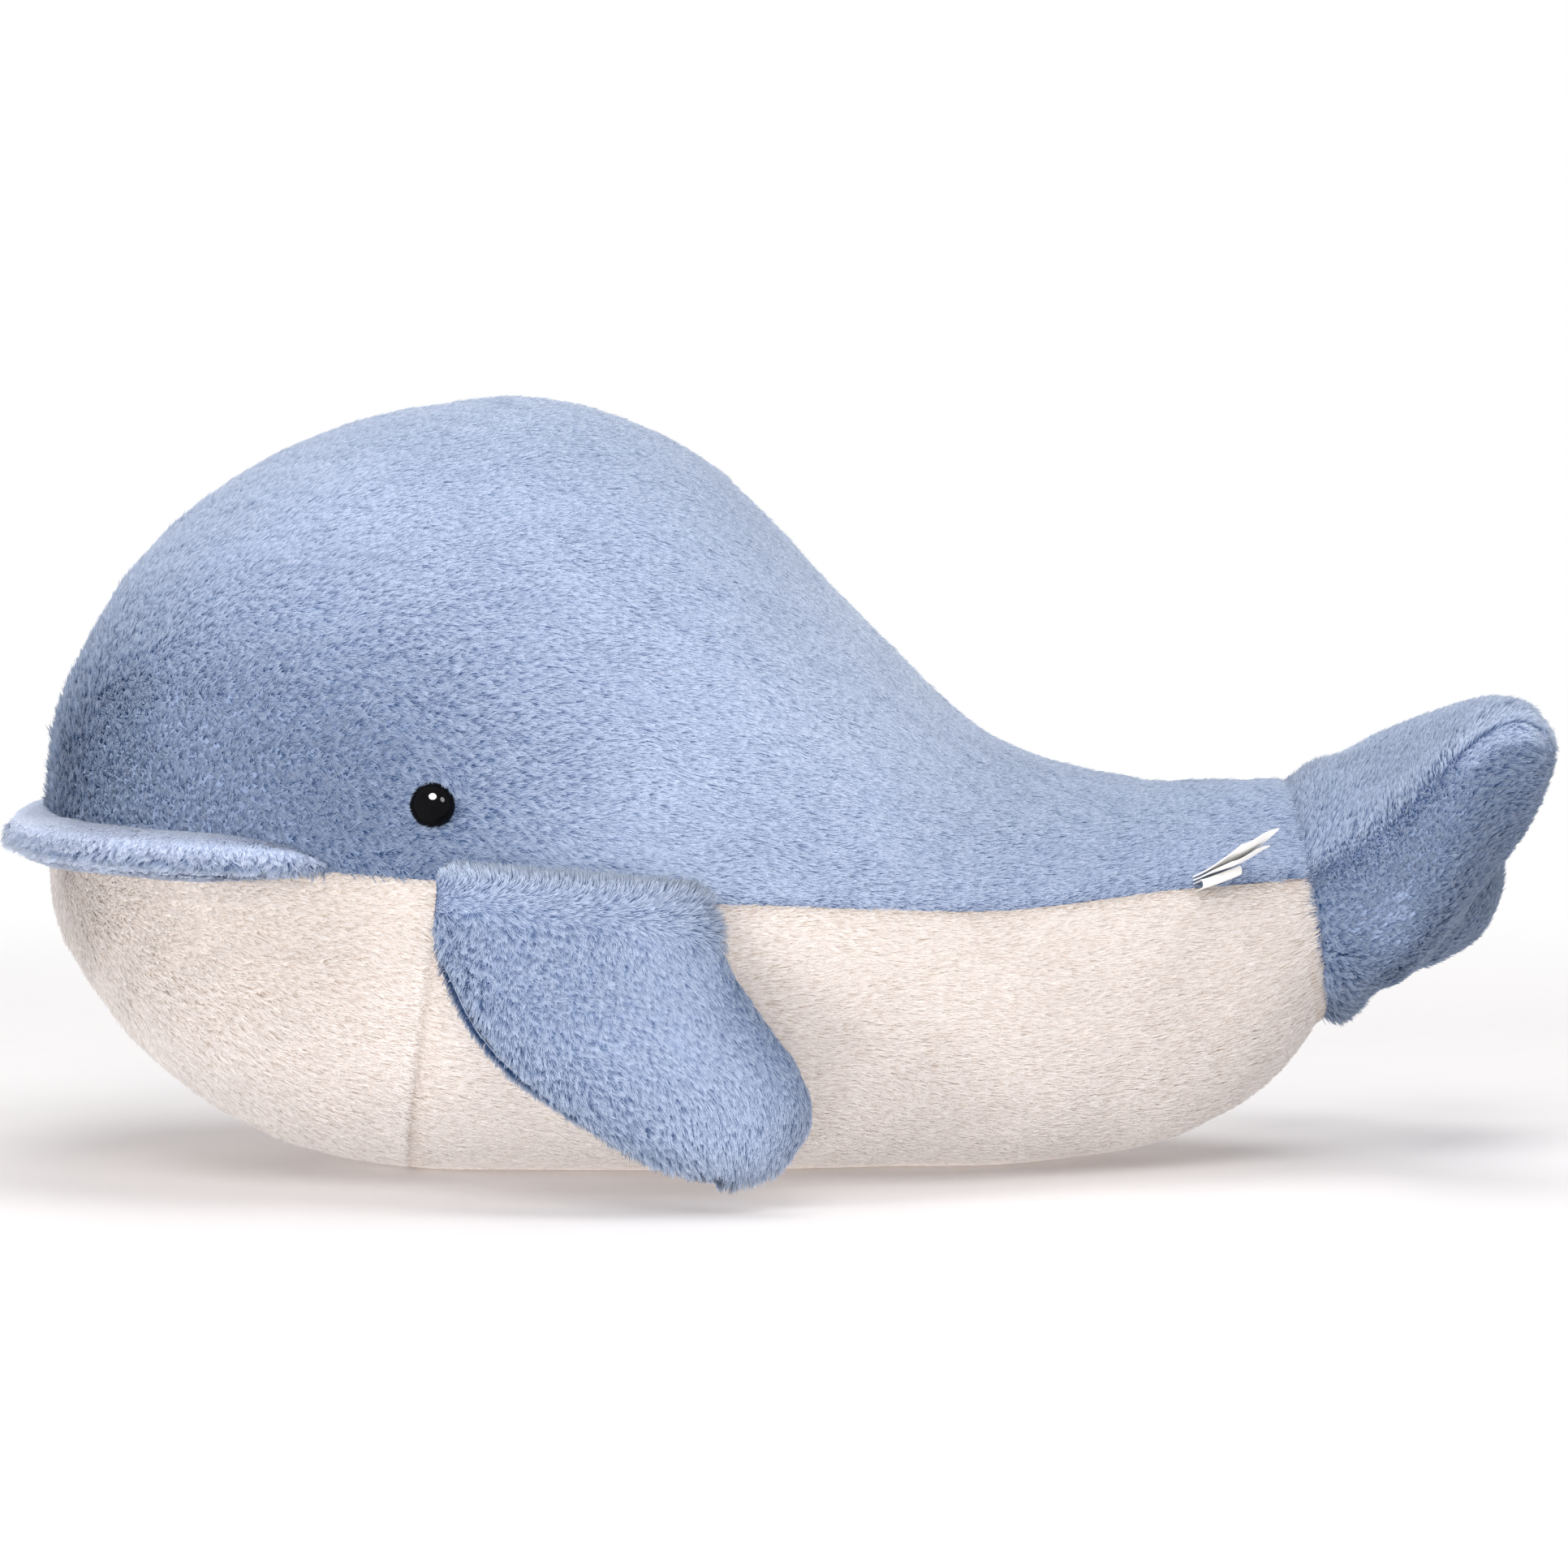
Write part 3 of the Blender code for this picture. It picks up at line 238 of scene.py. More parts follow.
def body_point(place, turn):
    """Points of the +Y half at places and turns from -1, keel, over 0, seam, to 1, spine."""
    place, turn = np.broadcast_arrays(np.asarray(place, float), np.asarray(turn, float))
    upper = turn >= 0
    seam = smooth_through(SEAM, place)
    end = np.where(upper[..., None], smooth_through(SPINE, place), smooth_through(KEEL, place))
    tailward = (place / LAST_STATION) ** 3
    fullness = np.where(upper, DOME_FULLNESS, BELLY_FULLNESS)
    fullness = fullness + (ROUND_FULLNESS - fullness) * tailward
    seam_angle = RING_SEAM_RISE * tailward
    sign = np.where(upper, 1.0, -1.0)
    angle = seam_angle + np.abs(turn) * (sign * math.pi / 2 - seam_angle)
    seam_rise = full_sine(seam_angle, fullness)
    rise = (full_sine(angle, fullness) - seam_rise) / (sign - seam_rise)
    spread = full_sine(math.pi / 2 - np.abs(angle), fullness)
    spread = spread / full_sine(math.pi / 2 - seam_angle, fullness)
    ahead = seam[..., 0] + (end[..., 0] - seam[..., 0]) * rise
    height = seam[..., 2] + (end[..., 2] - seam[..., 2]) * rise
    return np.stack([ahead, seam[..., 1] * spread, height], axis=-1)


def body_normal(place, turn):
    """The outward directions of the body's form at places and turns on its +Y half."""
    place, turn = np.broadcast_arrays(np.asarray(place, float), np.asarray(turn, float))
    step = 0.01
    ahead = body_point(np.minimum(place + step, LAST_STATION), turn)
    ahead = ahead - body_point(np.maximum(place - step, 0), turn)
    ahead = np.where((place > 0)[..., None], ahead, SIDEWAYS)
    over = body_point(place, np.minimum(turn + step, 1)) - body_point(place, np.maximum(turn - step, -1))
    normal = np.cross(over, ahead)
    seam = smooth_through(SEAM, place)
    outward = body_point(place, turn) - seam * np.array([1, 0, 1])
    outward = outward - (place == 0)[..., None] * BODY_LENGTH * RING_AXIS
    normal = normal * np.sign(np.sum(normal * outward, axis=-1, keepdims=True))
    normal[..., 1] = np.where(np.abs(turn) == 1, 0, normal[..., 1])
    return normal / np.linalg.norm(normal, axis=-1, keepdims=True)


def ring_turns(places, sign, ways_of):
    """Turns on each ring at ways from the side seam, which a function gives for the ring's full way."""
    table = np.linspace(0, 1, 97)
    points = body_point(places[:, None], sign * table[None, :])
    steps = np.linalg.norm(np.diff(points, axis=1), axis=-1)
    rows, ways = [], []
    for number in range(len(places)):
        lengths = np.concatenate([[0], np.cumsum(steps[number])])
        way = ways_of(number, lengths[-1])
        ways.append(way)
        rows.append(sign * np.interp(way, lengths, table))
    return np.array(rows), np.array(ways)


# ---- Repeatable noise and tufts ----

def scatter(across, down, seed):
    """A repeatable number from 0 to 1 at each pair of whole numbers."""
    mixed = (across.astype(np.int64) * 374761 + down.astype(np.int64) * 668265 + seed * 97531) & 0x7FFFFFFF
    mixed = ((mixed ^ (mixed >> 13)) * 1274126177) & 0x7FFFFFFF
    mixed = ((mixed ^ (mixed >> 15)) * 668265263) & 0x7FFFFFFF
    return ((mixed ^ (mixed >> 12)) & 0xFFFFF) / 0xFFFFF


def noise(across, down, seed):
    """Smooth noise from -1 to 1 with features one unit wide."""
    a, d = np.floor(across), np.floor(down)
    x, y = across - a, down - d
    x, y = x * x * (3 - 2 * x), y * y * (3 - 2 * y)
    low = scatter(a, d, seed) * (1 - x) + scatter(a + 1, d, seed) * x
    high = scatter(a, d + 1, seed) * (1 - x) + scatter(a + 1, d + 1, seed) * x
    return 2 * (low * (1 - y) + high * y) - 1


def tufts(nap, seed, length, width):
    """The height, 0 to 1, of overlapping tufts on nap coordinates (along, across)."""
    wander = noise(nap[..., 0] / 0.021, nap[..., 1] / 0.013, seed + 5) * 1.1 * width
    along = nap[..., 0] / length + 0.35 * noise(nap[..., 0] / 0.03, nap[..., 1] / 0.005, seed + 7)
    across = (nap[..., 1] + wander) / width
    cell_a, cell_d = np.floor(along), np.floor(across)
    best = np.full(along.shape, -1.0)
    for a in (-2, -1, 0):
        for d in (-1, 0, 1):
            centre_a = cell_a + a + scatter(cell_a + a, cell_d + d, seed)
            centre_d = cell_d + d + 0.15 + 0.7 * scatter(cell_a + a, cell_d + d, seed + 1)
            run = (along - centre_a) / 1.5
            off = across - centre_d
            inside = (run >= 0) & (run <= 1)
            narrow = 0.95 - 0.45 * run
            shape = (0.25 + 0.75 * np.clip(run, 0, 1) ** 0.8) * (1 - (off / narrow) ** 2)
            best = np.maximum(best, np.where(inside, shape, -1.0))
    return np.clip(best, 0, 1)


def clumps(place, seed, size):
    """The nearest clump's centre in space: the way to it, the clump's number and its own turn."""
    scaled = place / size
    corner = np.floor(scaled - 0.5)
    nearest = np.full(len(place), 9.0)
    ways = np.zeros_like(place)
    number = np.zeros(len(place))
    turn = np.zeros(len(place))
    for step in range(8):
        cell = corner + ((step >> 2) & 1, (step >> 1) & 1, step & 1)
        row = cell[:, 0] + 7919 * cell[:, 2]
        first, second = scatter(row, cell[:, 1], seed), scatter(row, cell[:, 1], seed + 1)
        third = scatter(row, cell[:, 1], seed + 2)
        centre = cell + 0.2 + 0.6 * np.stack([first, second, third], axis=-1)
        way = centre - scaled
        away = np.sum(way**2, axis=-1)
        better = away < nearest
        nearest = np.where(better, away, nearest)
        ways[better] = way[better] * size
        number = np.where(better, (7 * first + 3 * second + third) % 1.0, number)
        turn = np.where(better, (5 * first + 11 * third) % 1.0 * 2 - 1, turn)
    return ways, number, turn


# ---- Skins ----

def unit(vectors):
    """The vectors at a length of one."""
    return vectors / np.maximum(np.linalg.norm(vectors, axis=-1, keepdims=True), 1e-9)


def running(points, axis):
    """The way along a grid's lines of points."""
    steps = np.linalg.norm(np.diff(points, axis=axis), axis=-1)
    start = np.zeros_like(np.take(steps, [0], axis=axis))
    return np.concatenate([start, np.cumsum(steps, axis=axis)], axis=axis)


def make_skin(points, normals, edge, flow="rows"):
    """A skin's grid: points on the frame's outer face, normals, way to the nearest seam and nap."""
    rows, columns = running(points, 0), running(points, 1)
    down, over = np.gradient(points, axis=0), np.gradient(points, axis=1)
    if flow == "rows":
        nap, along = np.stack([rows, columns], axis=-1), down
    else:
        nap, along = np.stack([columns, rows], axis=-1), over
    along = unit(along)
    along = along - normals * np.sum(along * normals, axis=-1, keepdims=True)
    along = along / np.maximum(np.linalg.norm(along, axis=-1, keepdims=True), 0.5)
    return {"points": points, "normals": normals, "edge": edge, "nap": nap, "along": along, "grip": 1.0,
            "sunk": 0.0}


def skin_depths(skin, seed, pinch, inset, tuft_height, bulge):
    """How deep the skin lies below the frame's face at each point, and the tufts' height."""
    points, edge = skin["points"], skin["edge"]
    height = tufts(skin["nap"], seed, TUFT_LENGTH, TUFT_WIDTH)
    calm = np.clip((points[..., 0] - NOSE_X - 0.004) / 0.035, 0.12, 1)
    fade = np.clip(edge / 0.006, 0, 1) * calm
    soft = np.clip(points[..., 2] / FLOOR_SQUASH, 0.08, 1)
    swell = noise(skin["nap"][..., 0] / 0.034, skin["nap"][..., 1] / 0.026, seed + 11) * bulge
    drawn = pinch * np.maximum(0, 1 - edge / SEAM_ROUND) ** 2 * skin["grip"]
    depth = (inset - swell * fade) * soft + drawn - (height - 0.5) * tuft_height * fade * soft + skin["sunk"]
    return depth, height


def skin_piece(name, skin, finish, seed, pinch=SEAM_PINCH, inset=SKIN_DEPTH, tuft_height=TUFT_HEIGHT,
               bulge=0.0008, tucks=(0, 1, 2, 3)):
    """Makes a skin's mesh: its tufted face, and hems tucked in at first row, last row, first or last column."""
    depth, height = skin_depths(skin, seed, pinch, inset, tuft_height, bulge)
    normals = skin["normals"]
    face = skin["points"] - normals * depth[..., None]
    face[..., 2] = np.maximum(face[..., 2], SKIN_FLOOR)
    values = np.concatenate([skin["nap"], height[..., None]], axis=-1)
    for side in tucks:
        axis, last = divmod(side, 2)
        for _ in range(2):
            base, way, nap = (np.take(grid, [-last], axis=axis) for grid in (face, normals, values))
            base = base - way * TUCK / 2
            base[..., 2] = np.maximum(base[..., 2], SKIN_FLOOR)
            face, normals, values = (
                np.concatenate((grid, line) if last else (line, grid), axis=axis)
                for grid, line in ((face, base), (normals, way), (values, nap)))
    return grid_piece(name, face, normals, values, finish)


def mesh_piece(name, vertices, faces, finish, nap=None):
    """Makes a smooth mesh piece, with nap coordinates for its finish."""
    mesh = bpy.data.meshes.new(name)
    mesh.from_pydata(vertices, [], faces)
    mesh.polygons.foreach_set("use_smooth", np.ones(len(mesh.polygons), dtype=bool))
    if nap is not None:
        made = mesh.attributes.new("nap", "FLOAT_VECTOR", "POINT")
        made.data.foreach_set("vector", nap.astype(np.float32).ravel())
    mesh.materials.append(finish)
    piece = bpy.data.objects.new(name, mesh)
    bpy.context.collection.objects.link(piece)
    return piece


def grid_piece(name, face, normals, values, finish):
    """Makes a mesh piece of quads from a grid of points, facing the normals' way."""
    rows, columns = face.shape[:2]
    index = np.arange(rows * columns).reshape(rows, columns)
    quads = np.stack([index[:-1, :-1], index[1:, :-1], index[1:, 1:], index[:-1, 1:]], axis=-1)
    down = face[1:, :-1] - face[:-1, :-1]
    over = face[:-1, 1:] - face[:-1, :-1]
    if np.sum(np.cross(down, over) * normals[:-1, :-1]) < 0:
        quads = quads[..., ::-1]
    return mesh_piece(name, face.reshape(-1, 3).tolist(), quads.reshape(-1, 4).tolist(), finish, values)


def back_skin(side, rows=270, columns=225):
    """The left (-1) or right (1) back panel's skin, from the side seam up to the spine."""
    places = np.linspace(0, LAST_STATION, rows)
    shares = np.linspace(0, 1, columns)
    turns, ways = ring_turns(places, 1, lambda number, full: shares * full)
    turns[:, -1] = 1
    points = body_point(places[:, None], turns)
    normals = body_normal(places[:, None], turns)
    edge = np.minimum(ways, 0.004 + ways[:, -1:] - ways)
    ring_way = running(points, 0)
    edge = np.minimum(edge, 0.004 + ring_way)
    flip = np.array([1, side, 1])
    points, normals, edge = to_ring(points * flip, normals * flip, edge)
    return make_skin(points, normals, edge)


def from_tail_axis(points):
    """The directions from the tail ring's axis out to points."""
    middle = points - RING_CENTRE
    return unit(middle - (middle @ RING_AXIS)[..., None] * RING_AXIS)


def to_ring(points, normals, edge, rows=4):
    """Carries a body skin on over the groove, to the plane in which the flukes are sewn on."""
    way = np.linspace(0, 1, rows + 1)[1:, None, None]
    tuck = from_tail_axis(points[-1:]) * RING_TUCK
    added = points[-1:] + RING_AXIS * (RING_GROOVE - RING_GAP) * way - tuck * way**2
    points = np.concatenate([points, added])
    normals = np.concatenate([normals, np.repeat(normals[-1:], rows, axis=0)])
    edge = np.concatenate([edge, np.repeat(edge[-1:], rows, axis=0)])
    end_way = np.linalg.norm(points - points[-1:], axis=-1)
    return points, normals, np.minimum(edge, end_way)


def under_skin(start, end, rows, columns=171):
    """The chin's or belly's skin, from one side seam under the body to the other."""
    places = np.linspace(start, end, rows)
    shares = np.linspace(0, 1, columns)
    turns, ways = ring_turns(places, -1, lambda number, full: shares * full)
    turns[:, -1] = -1
    half = body_point(places[:, None], turns)
    normal = body_normal(places[:, None], turns)
    points = np.concatenate([half, (half * MIRROR)[:, -2::-1]], axis=1)
    normals = np.concatenate([normal, (normal * MIRROR)[:, -2::-1]], axis=1)
    edge = np.concatenate([ways, ways[:, -2::-1]], axis=1)
    rows_way = running(points, 0)
    if start > 0:
        edge = np.minimum(edge, rows_way)
        points, normals, edge = to_ring(points, normals, edge)
    else:
        edge = np.minimum(edge, rows_way[-1:] - rows_way)
        edge = np.minimum(edge, 0.003 + rows_way)
    return make_skin(points, normals, edge)


def fin_axes():
    """The +Y fin's hinge: a point on its axis, then the axis, the way down the fin and the way out."""
    middle = body_point(FIN_STATION, 0)
    axis = unit(body_point(FIN_STATION + 0.5, 0) - body_point(FIN_STATION - 0.5, 0))
    down = unit(np.array([axis[2], 0, -axis[0]]))
    out = np.cross(down, axis)
    out = out * np.sign(out[1])
    origin = middle + out * (FIN_ROOT_RADIUS - FIN_SEAT_DEPTH)
    reach = down * math.cos(FIN_TILT) + out * math.sin(FIN_TILT)
    return origin, axis, reach, out * math.cos(FIN_TILT) - down * math.sin(FIN_TILT)


def fin_skin(side, face, rows=112, columns=131):
    """One face (1 outer, -1 inner) of a fin's skin, from its rounded root to its tip."""
    origin, axis, reach, out = fin_axes()
    cap = 9
    row = np.concatenate([np.linspace(-1, 0, cap)[:-1], np.linspace(0, 1, rows)])[:, None]
    column = np.sin(np.linspace(-math.pi / 2, math.pi / 2, columns))[None, :]
    share = np.maximum(row, 0)
    lead, trail = np.moveaxis(along_table(FIN_OUTLINE, share) * FIN_ROOT_WIDTH, -1, 0)
    capped = row < 0
    corner = np.where(capped, FIN_ROOT_CORNER * row * row, 0)
    lead, trail = lead + corner, trail - corner
    if face == -1:
        grown = np.clip((share - 0.2) / 0.78, 0, 1)
        lead = lead - FIN_INNER_REACH * np.sin(grown * math.pi) ** np.where(grown < 0.5, 0.7, 1.3)
    thick = along_table(FIN_THICK, share)[..., 0] * FIN_THICKNESS / 2
    half = np.where(capped, FIN_ROOT_RADIUS * np.sqrt(np.clip(1 - row * row, 0, 1)), thick)
    way = np.where(capped, row * FIN_ROOT_RADIUS, row * FIN_LENGTH)
    middle, width = (lead + trail) / 2, (trail - lead) / 2
    swell = half * np.sqrt(np.clip(1 - column * column, 0, 1))
    points = (origin + axis * (middle + width * column)[..., None]
              + reach * np.broadcast_to(way, swell.shape)[..., None] + out * (face * swell)[..., None])
    normals = unit(np.cross(np.gradient(points, axis=0), np.gradient(points, axis=1)))
    normals = normals * np.sign(np.sum(normals[1:-1] * out * face))
    rim = axis * column[..., None] + reach * np.clip(row * 3 - 2, 0, 1)[..., None] * 1.2
    lean = 1 - np.sqrt(np.clip(1 - column**2, 0, 1)) * np.clip((1 - row) * 8, 0, 1)
    normals = unit(normals + rim * lean[..., None] * 1.5)
    edge = np.minimum((1 - np.abs(column)) * width, np.broadcast_to((1 - row) * FIN_LENGTH, swell.shape))
    flip = np.array([1, side, 1])
    return make_skin(points * flip, normals * flip, np.sqrt(np.clip(edge, 0, 1) * 0.012))


def fluke_skin(face, rows=84, columns=241):
    """The top (1) or bottom (-1) skin of the flukes, from the tail seam to the trailing edge."""
    row = np.concatenate([[0.0], np.linspace(0.0, 1, rows)])[:, None]
    column = np.linspace(-1, 1, columns)[None, :]
    seam_angle = np.radians(along_table(FLUKE_SEAM, row)[..., 0])
    angle = face * math.pi / 2 - np.abs(column) * (face * math.pi / 2 - seam_angle)
    outward = np.cos(angle)
    grown = along_table(FLUKE_GROWTH, row)[..., 0]
    half_span = RING_RADIUS + (FLUKE_SPAN / 2 - RING_RADIUS) * grown
    thick = RING_RADIUS * along_table(FLUKE_THICK, row)[..., 0] * np.sqrt(np.clip(1 - row**8, 0, 1))
    length = FLUKE_LENGTH * along_table(FLUKE_TRAILING, outward)[..., 0]
    back = RING_GROOVE + row * (length - RING_GROOVE)
    aside = np.sign(column) * half_span * outward
    up = FLUKE_LIFT * along_table(FLUKE_RISE, row)[..., 0] + thick * np.sin(angle)
    share = np.minimum(1.0, (back - RING_GROOVE) / FLUKE_TWIST_RUN)
    turned = share * share * (3 - 2 * share)
    twist = FLUKE_TWIST * turned
    back = back - aside * math.sin(FLUKE_YAW) * turned
    turned_aside = aside * np.cos(twist) + up * np.sin(twist)
    turned_up = up * np.cos(twist) - aside * np.sin(twist)
    back, turned_aside, turned_up = np.broadcast_arrays(back, turned_aside, turned_up)
    points = (RING_CENTRE + RING_AXIS * back[..., None] + SIDEWAYS * turned_aside[..., None]
              + RING_UP * turned_up[..., None])
    shown = points[1:]
    normals = unit(np.cross(np.gradient(shown, axis=0), np.gradient(shown, axis=1)))
    normals = normals * np.sign(np.sum(normals * (RING_UP * face)))
    normals = np.concatenate([normals[:1], normals])
    points[:1] = points[:1] - RING_AXIS * (RING_GROOVE - RING_GAP) - from_tail_axis(points[:1]) * RING_TUCK
    way = running(points, 0)
    side_way = running(points, 1)
    side_way = np.minimum(side_way, side_way[:, -1:] - side_way)
    edge = np.minimum(np.minimum(way, 0.005 + way[-1:] - way), side_way)
    skin = make_skin(points, normals, edge)
    skin["grip"] = 1 - 0.85 * np.clip((row - 0.50) / 0.30, 0, 1)
    sunk, until = FLUKE_SUNK[face]
    skin["sunk"] = sunk * np.sin(np.clip(row / until, 0, 1) * math.pi) * (1 - np.abs(column) ** 3)
    return skin


def lip_skin(side, rows=150, columns=19):
    """The lip's upper (1) or lower (-1) skin, from its left end round the nose to its right end."""
    places = np.linspace(0, LIP_END_STATION, rows)
    line = body_point(places, 0)
    run = np.concatenate([[0], np.cumsum(np.linalg.norm(np.diff(line, axis=0), axis=-1))])
    ease = np.sin(np.minimum(1.0, (run[-1] - run) / LIP_TAPER) * math.pi / 2)[:, None]
    angle = np.linspace(0, math.pi / 2, columns)[None, :]
    tip = np.sqrt(np.clip((run[-1] - run) / 0.011, 0.02, 1))[:, None]
    reach = (LIP_END_REACH + (LIP_REACH - LIP_END_REACH) * ease) * tip
    half = (LIP_END_HALF_HEIGHT + (LIP_HALF_HEIGHT - LIP_END_HALF_HEIGHT) * ease) * tip
    way = LIP_RAISE + side * half * np.cos(angle) ** LIP_FULLNESS
    up, _ = ring_turns(places, 1, lambda number, full: np.maximum(way[number], 0))
    low, _ = ring_turns(places, -1, lambda number, full: np.maximum(-way[number], 0))
    turns = up + low
    points = body_point(places[:, None], turns)
    points = points + body_normal(places[:, None], turns) * (reach * np.sin(angle) ** LIP_FULLNESS)[..., None]
    points = np.concatenate([(points * MIRROR)[:0:-1], points])
    normals = unit(np.cross(np.gradient(points, axis=0), np.gradient(points, axis=1)))
    normals = normals * np.sign(np.sum(normals[..., 2]) * side)
    ends = running(points, 0)
    across = running(points, 1)
    edge = np.minimum(np.minimum(ends, ends[-1:] - ends), across[:, -1:] - across)
    return make_skin(points, normals, edge, flow="columns")


# ---- Coats of strands ----

def coat(name, skin, body, finish, seed, scale, wild, shade, lean=None, length=0.0056, lift=0.46, density=1.0,
         inset=ROOT_DEPTH):
    """Grows strands on a skin's grid: each rises, leans along the nap and meets the others of its clump."""
    normals = skin["normals"]
    points = skin["points"] - normals * np.atleast_2d(skin["sunk"])[..., None]
    down = points[1:, :-1] - points[:-1, :-1]
    over = points[:-1, 1:] - points[:-1, :-1]
    area = np.linalg.norm(np.cross(down, over), axis=-1).ravel()
    count = int(area.sum() * 1e6 * DENSITY * density)
    draw = np.random.default_rng(seed)
    cell = np.searchsorted(np.cumsum(area), draw.random(count) * area.sum() * 0.999999)
    row, column = np.divmod(cell, points.shape[1] - 1)
    a, b = draw.random(count)[:, None], draw.random(count)[:, None]

    def at(grid):
        near = grid[row, column] * (1 - b) + grid[row, column + 1] * b
        far = grid[row + 1, column] * (1 - b) + grid[row + 1, column + 1] * b
        return near * (1 - a) + far * a

    place, normal, along = at(points), unit(at(normals)), at(skin["along"])
    edge = at(skin["edge"][..., None])[:, 0]
    ways, number, turn = clumps(place, seed, CLUMP_SIZE)
    ways = ways - normal * np.sum(ways * normal, axis=-1, keepdims=True)
    rough = wild(place, edge)
    size = draw.uniform(0.85, 1.08, count) * (1 + (0.16 + 0.40 * rough) * (number - 0.5))
    size = size * scale(place, edge)
    kept = size > 0.12
    if lean is not None:
        along = unit(along + lean(place, edge))
    across = np.cross(normal, along)
    level, upright = place @ (0.90, 0.55, 0.10), place @ (-0.10, 0.60, 0.95)
    sway = noise(level / 0.013, upright / 0.013, seed + 21)
    side = 0.22 * sway + draw.normal(0, 0.10, count) + rough * (0.85 * turn + draw.normal(0, 0.12, count))
    rise = lift + 0.10 * noise(level / 0.009, upright / 0.009, seed + 23) + draw.normal(0, 0.05, count)
    rise = np.clip(rise + rough * (0.22 + 0.35 * (number - 0.5)), 0.15, 0.97)
    soft = np.clip(place[:, 2] / FLOOR_SQUASH, 0.1, 1)
    steps = np.linspace(0, 1, STRAND_STEPS)[None, :, None]
    reach = (length * size)[:, None, None]
    ahead = along[:, None] * reach * np.sqrt(1 - rise**2)[:, None, None] * steps**1.5
    up = normal[:, None] * reach * (rise * soft)[:, None, None] * (1 - (1 - steps) ** 1.5)
    meet = (CLUMP_MEET + 0.50 * rough)[:, None, None] * steps**1.2
    aside = across[:, None] * reach * side[:, None, None] * steps**1.5
    root = place - normal * (inset * soft)[:, None]
    strands = root[:, None] + ahead + up + aside + ways[:, None] * meet
    strands[..., 2] = np.maximum(strands[..., 2], STRAND_FLOOR)
    thin = np.array(STRAND_TAPER)[None, :] * STRAND_RADIUS * draw.uniform(0.8, 1.2, count)[:, None]
    broad = noise(level / 0.026, upright / 0.026, seed + 25)
    # Each strand's tone: its own random tone, plus the painted light and shade of its coat's shade rule.
    tone_and_shade = 0.5 + (0.08 + 0.25 * rough) * (number - 0.5) + 0.035 * broad + draw.normal(0, 0.06, count)
    tone_and_shade = np.clip(tone_and_shade + shade(place, edge), 0, 1)
    data = bpy.data.hair_curves.new(name)
    data.add_curves([STRAND_STEPS] * int(kept.sum()))
    data.attributes["position"].data.foreach_set("vector", strands[kept].astype(np.float32).ravel())
    for label, domain, form, key, values in (
        ("radius", "POINT", "FLOAT", "value", thin),
        ("tone_and_shade", "CURVE", "FLOAT", "value", tone_and_shade),
        ("base_normal", "CURVE", "FLOAT_VECTOR", "vector", normal),
    ):
        made = data.attributes.new(label, form, domain)
        made.data.foreach_set(key, values[kept].astype(np.float32).ravel())
    data.materials.append(finish)
    strand_object = bpy.data.objects.new(name, data)
    bpy.context.collection.objects.link(strand_object)
    # The strands cast no shadows; their finish paints shade at their roots instead.
    strand_object.visible_shadow = False
    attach(strand_object, body)


# ---- Finishes ----

def feed(node, values):
    """Sets a node's sockets to constants, or links them to other nodes' sockets."""
    for socket, value in values:
        if isinstance(value, bpy.types.NodeSocket):
            node.id_data.links.new(value, node.inputs[socket])
        else:
            node.inputs[socket].default_value = value


def adder(tree):
    """A helper that adds a node of a kind to a tree, with its sockets' values and its settings."""

    def add(kind, values=(), **settings):
        node = tree.nodes.new("ShaderNode" + kind)
        for key, value in settings.items():
            setattr(node, key, value)
        feed(node, values)
        return node

    return add


def start_finish(name):
    """A material with its Principled shader and a helper that adds nodes."""
    made = bpy.data.materials.new(name)
    made.use_nodes = True
    return made, made.node_tree.nodes["Principled BSDF"], adder(made.node_tree)


def mixed(add, share, low, high):
    """A colour between two, by a share."""
    return add("Mix", [(6, low), (7, high), (0, share)], data_type="RGBA").outputs[2]


def ranged(add, value, *limits):
    """A value carried from one range (low, high) to another."""
    return add("MapRange", [(0, value), *enumerate(limits, 1)]).outputs[0]


def cloudy(add, where, scale, detail):
    """Noise at a place."""
    return add("TexNoise", [("Vector", where), ("Scale", scale), ("Detail", detail)]).outputs[0]


def worked(add, kind, operation, *values, **settings):
    """The outcome of a Math or VectorMath node."""
    return add(kind, enumerate(values), operation=operation, **settings).outputs[0]


def skin_finish(name, deep, base, light):
    """Fur fabric on a mesh: painted shade between the tufts, streaked along the nap, with fine relief and
    sheen.
    """
    made, shader, add = start_finish(name)
    nap = add("Attribute", attribute_name="nap").outputs["Vector"]
    fine = cloudy(add, worked(add, "VectorMath", "MULTIPLY", nap, (260, 1500, 0)), 1.0, 2.0)
    broad = cloudy(add, worked(add, "VectorMath", "MULTIPLY", nap, (38, 50, 0)), 1.0, 2.0)
    height = add("SeparateXYZ", [(0, nap)]).outputs[2]
    # The lower a place lies between the tufts, the more of the first colour, a painted shade, it gets.
    lift = ranged(add, height, 0.0, 1.0, 0.0, 0.75)
    grain = worked(add, "Math", "MULTIPLY", fine, 0.5)
    total = worked(add, "Math", "ADD", lift, grain, use_clamp=True)
    spread = ranged(add, broad, 0.3, 0.7, 0.0, 0.5)
    bump = add("Bump", [("Height", fine), ("Strength", 0.6), ("Distance", 0.0006)])
    feed(shader, (("Base Color", mixed(add, spread, mixed(add, total, deep, base), light)),
                  ("Normal", bump.outputs[0]), ("Roughness", 0.95), ("Specular IOR Level", 0.15),
                  ("Sheen Weight", 0.35), ("Sheen Roughness", 0.5)))
    return made


